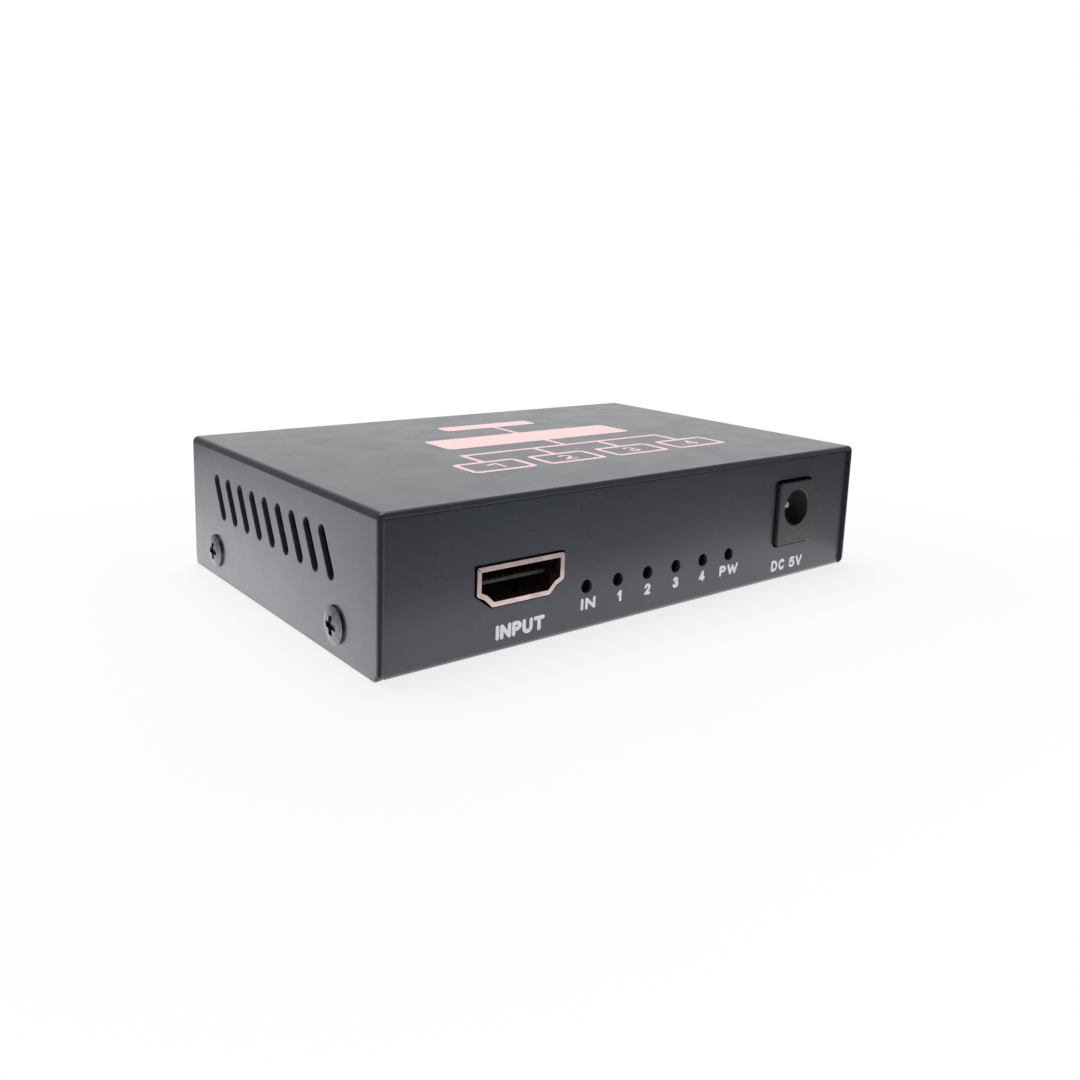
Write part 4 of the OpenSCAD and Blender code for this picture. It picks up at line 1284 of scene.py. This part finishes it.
        # The camera sees the shadow near the box and plain white beyond it.
        fade = {"Value": gap, "From Max": self.shadow_fade * MM, "To Min": 1 - self.shade, "To Max": 1.0}
        cover = add(tree, "ShaderNodeMapRange", inputs=fade).outputs[0]
        # In reflections the floor glows with a painted pool of light: bright to the left of the box and in
        # front of it, painted dark in the corner between and on the other sides, and dimmer away from the
        # box.
        dim = {"Value": gap, "From Max": self.painted_glow_fade * MM}
        dim |= {"To Min": self.near_painted_glow, "To Max": self.far_painted_glow}
        fading = add(tree, "ShaderNodeMapRange", inputs=dim).outputs[0]
        parts = add(tree, "ShaderNodeSeparateXYZ", inputs={0: spot}).outputs
        ends = [
            {"Value": part, "From Min": -half * MM, "From Max": (-half - self.zone_edge) * MM}
            for part, half in zip(parts, self.box)
        ]
        left, front = (add(tree, "ShaderNodeMapRange", inputs=end).outputs[0] for end in ends)
        apart = add(tree, "ShaderNodeMath", {"operation": "SUBTRACT"}, {0: left, 1: front}).outputs[0]
        zone = add(tree, "ShaderNodeMath", {"operation": "ABSOLUTE"}, {0: apart}).outputs[0]
        painted_lit_span = {"Value": zone, "To Min": self.unlit_side_glow_share}
        bright = add(tree, "ShaderNodeMapRange", inputs=painted_lit_span).outputs[0]
        glow = add(tree, "ShaderNodeMath", {"operation": "MULTIPLY"}, {0: fading, 1: bright}).outputs[0]
        level = {"Factor": camera, "A": glow, "B": 1.0}
        strength = add(tree, "ShaderNodeMix", {"data_type": "FLOAT"}, level).outputs[0]
        share = add(tree, "ShaderNodeMath", {"operation": "MULTIPLY"}, {0: seen, 1: cover}).outputs[0]
        paper = add(tree, "ShaderNodeBsdfDiffuse", inputs={"Color": linear(self.floor)})
        white = add(tree, "ShaderNodeEmission", inputs={"Color": linear("#FFFFFF"), "Strength": strength})
        mixed = add(tree, "ShaderNodeMixShader", inputs={0: share, 1: paper.outputs[0], 2: white.outputs[0]})
        add(tree, "ShaderNodeOutputMaterial", inputs={"Surface": mixed.outputs[0]})
        floor.data.materials.append(material)

    def build(self) -> None:
        """Sets the whole studio up."""
        bpy.context.scene.view_settings.view_transform = "Standard"
        self.view.build()
        self.lay_floor()
        self.light()


# Bottom and top of the words under the lamps and under the outputs in mm.
LAMP_LINE, OUTPUT_LINE = (3.29, 5.14), (2.2, 4.2)
LABELS = (
    Label("label_input", "INPUT", Side.FRONT, (-31.03, -22.24, 1.92, 4.15), 0.62),
    Label("label_lamp_input", "IN", Side.FRONT, (-15.35, -12.45, *LAMP_LINE)),
    Label("label_lamp_1", "1", Side.FRONT, (-7.96, -7.06, *LAMP_LINE)),
    Label("label_lamp_2", "2", Side.FRONT, (-2.12, -0.82, *LAMP_LINE)),
    Label("label_lamp_3", "3", Side.FRONT, (4.27, 5.56, *LAMP_LINE)),
    Label("label_lamp_4", "4", Side.FRONT, (10.41, 11.81, *LAMP_LINE)),
    Label("label_lamp_power", "PW", Side.FRONT, (15.41, 20.05, *LAMP_LINE)),
    Label("label_power", "DC 5V", Side.FRONT, (29.15, 37.8, 1.8, 3.8)),
    Label("label_output_1", "1", Side.REAR, (-31.3, -30.2, *OUTPUT_LINE)),
    Label("label_output_2", "2", Side.REAR, (-11.0, -9.5, *OUTPUT_LINE)),
    Label("label_output_3", "3", Side.REAR, (9.5, 11.0, *OUTPUT_LINE)),
    Label("label_output_4", "4", Side.REAR, (30.0, 31.5, *OUTPUT_LINE)),
)


def main() -> None:
    """Builds and dresses each sub-assembly, then sets up the studio."""
    logging.basicConfig(level=logging.INFO, format="%(message)s")
    screws = [
        CoverScrew(f"cover_screw_{wing}_{end}", side)
        for wing, side in (("left", -1), ("right", 1))
        for end in ("front", "rear")
    ]
    sockets = [VideoSocket(name) for name in ("input", "output_1", "output_2", "output_3", "output_4")]
    for part in (Case(), *screws, *sockets, PowerJack(), *LABELS, TopPrint()):
        part.build()
        part.dress()
    for part in (LampRow(), CircuitBoard()):
        part.dress()
    Studio().build()


if __name__ == "__main__":
    main()
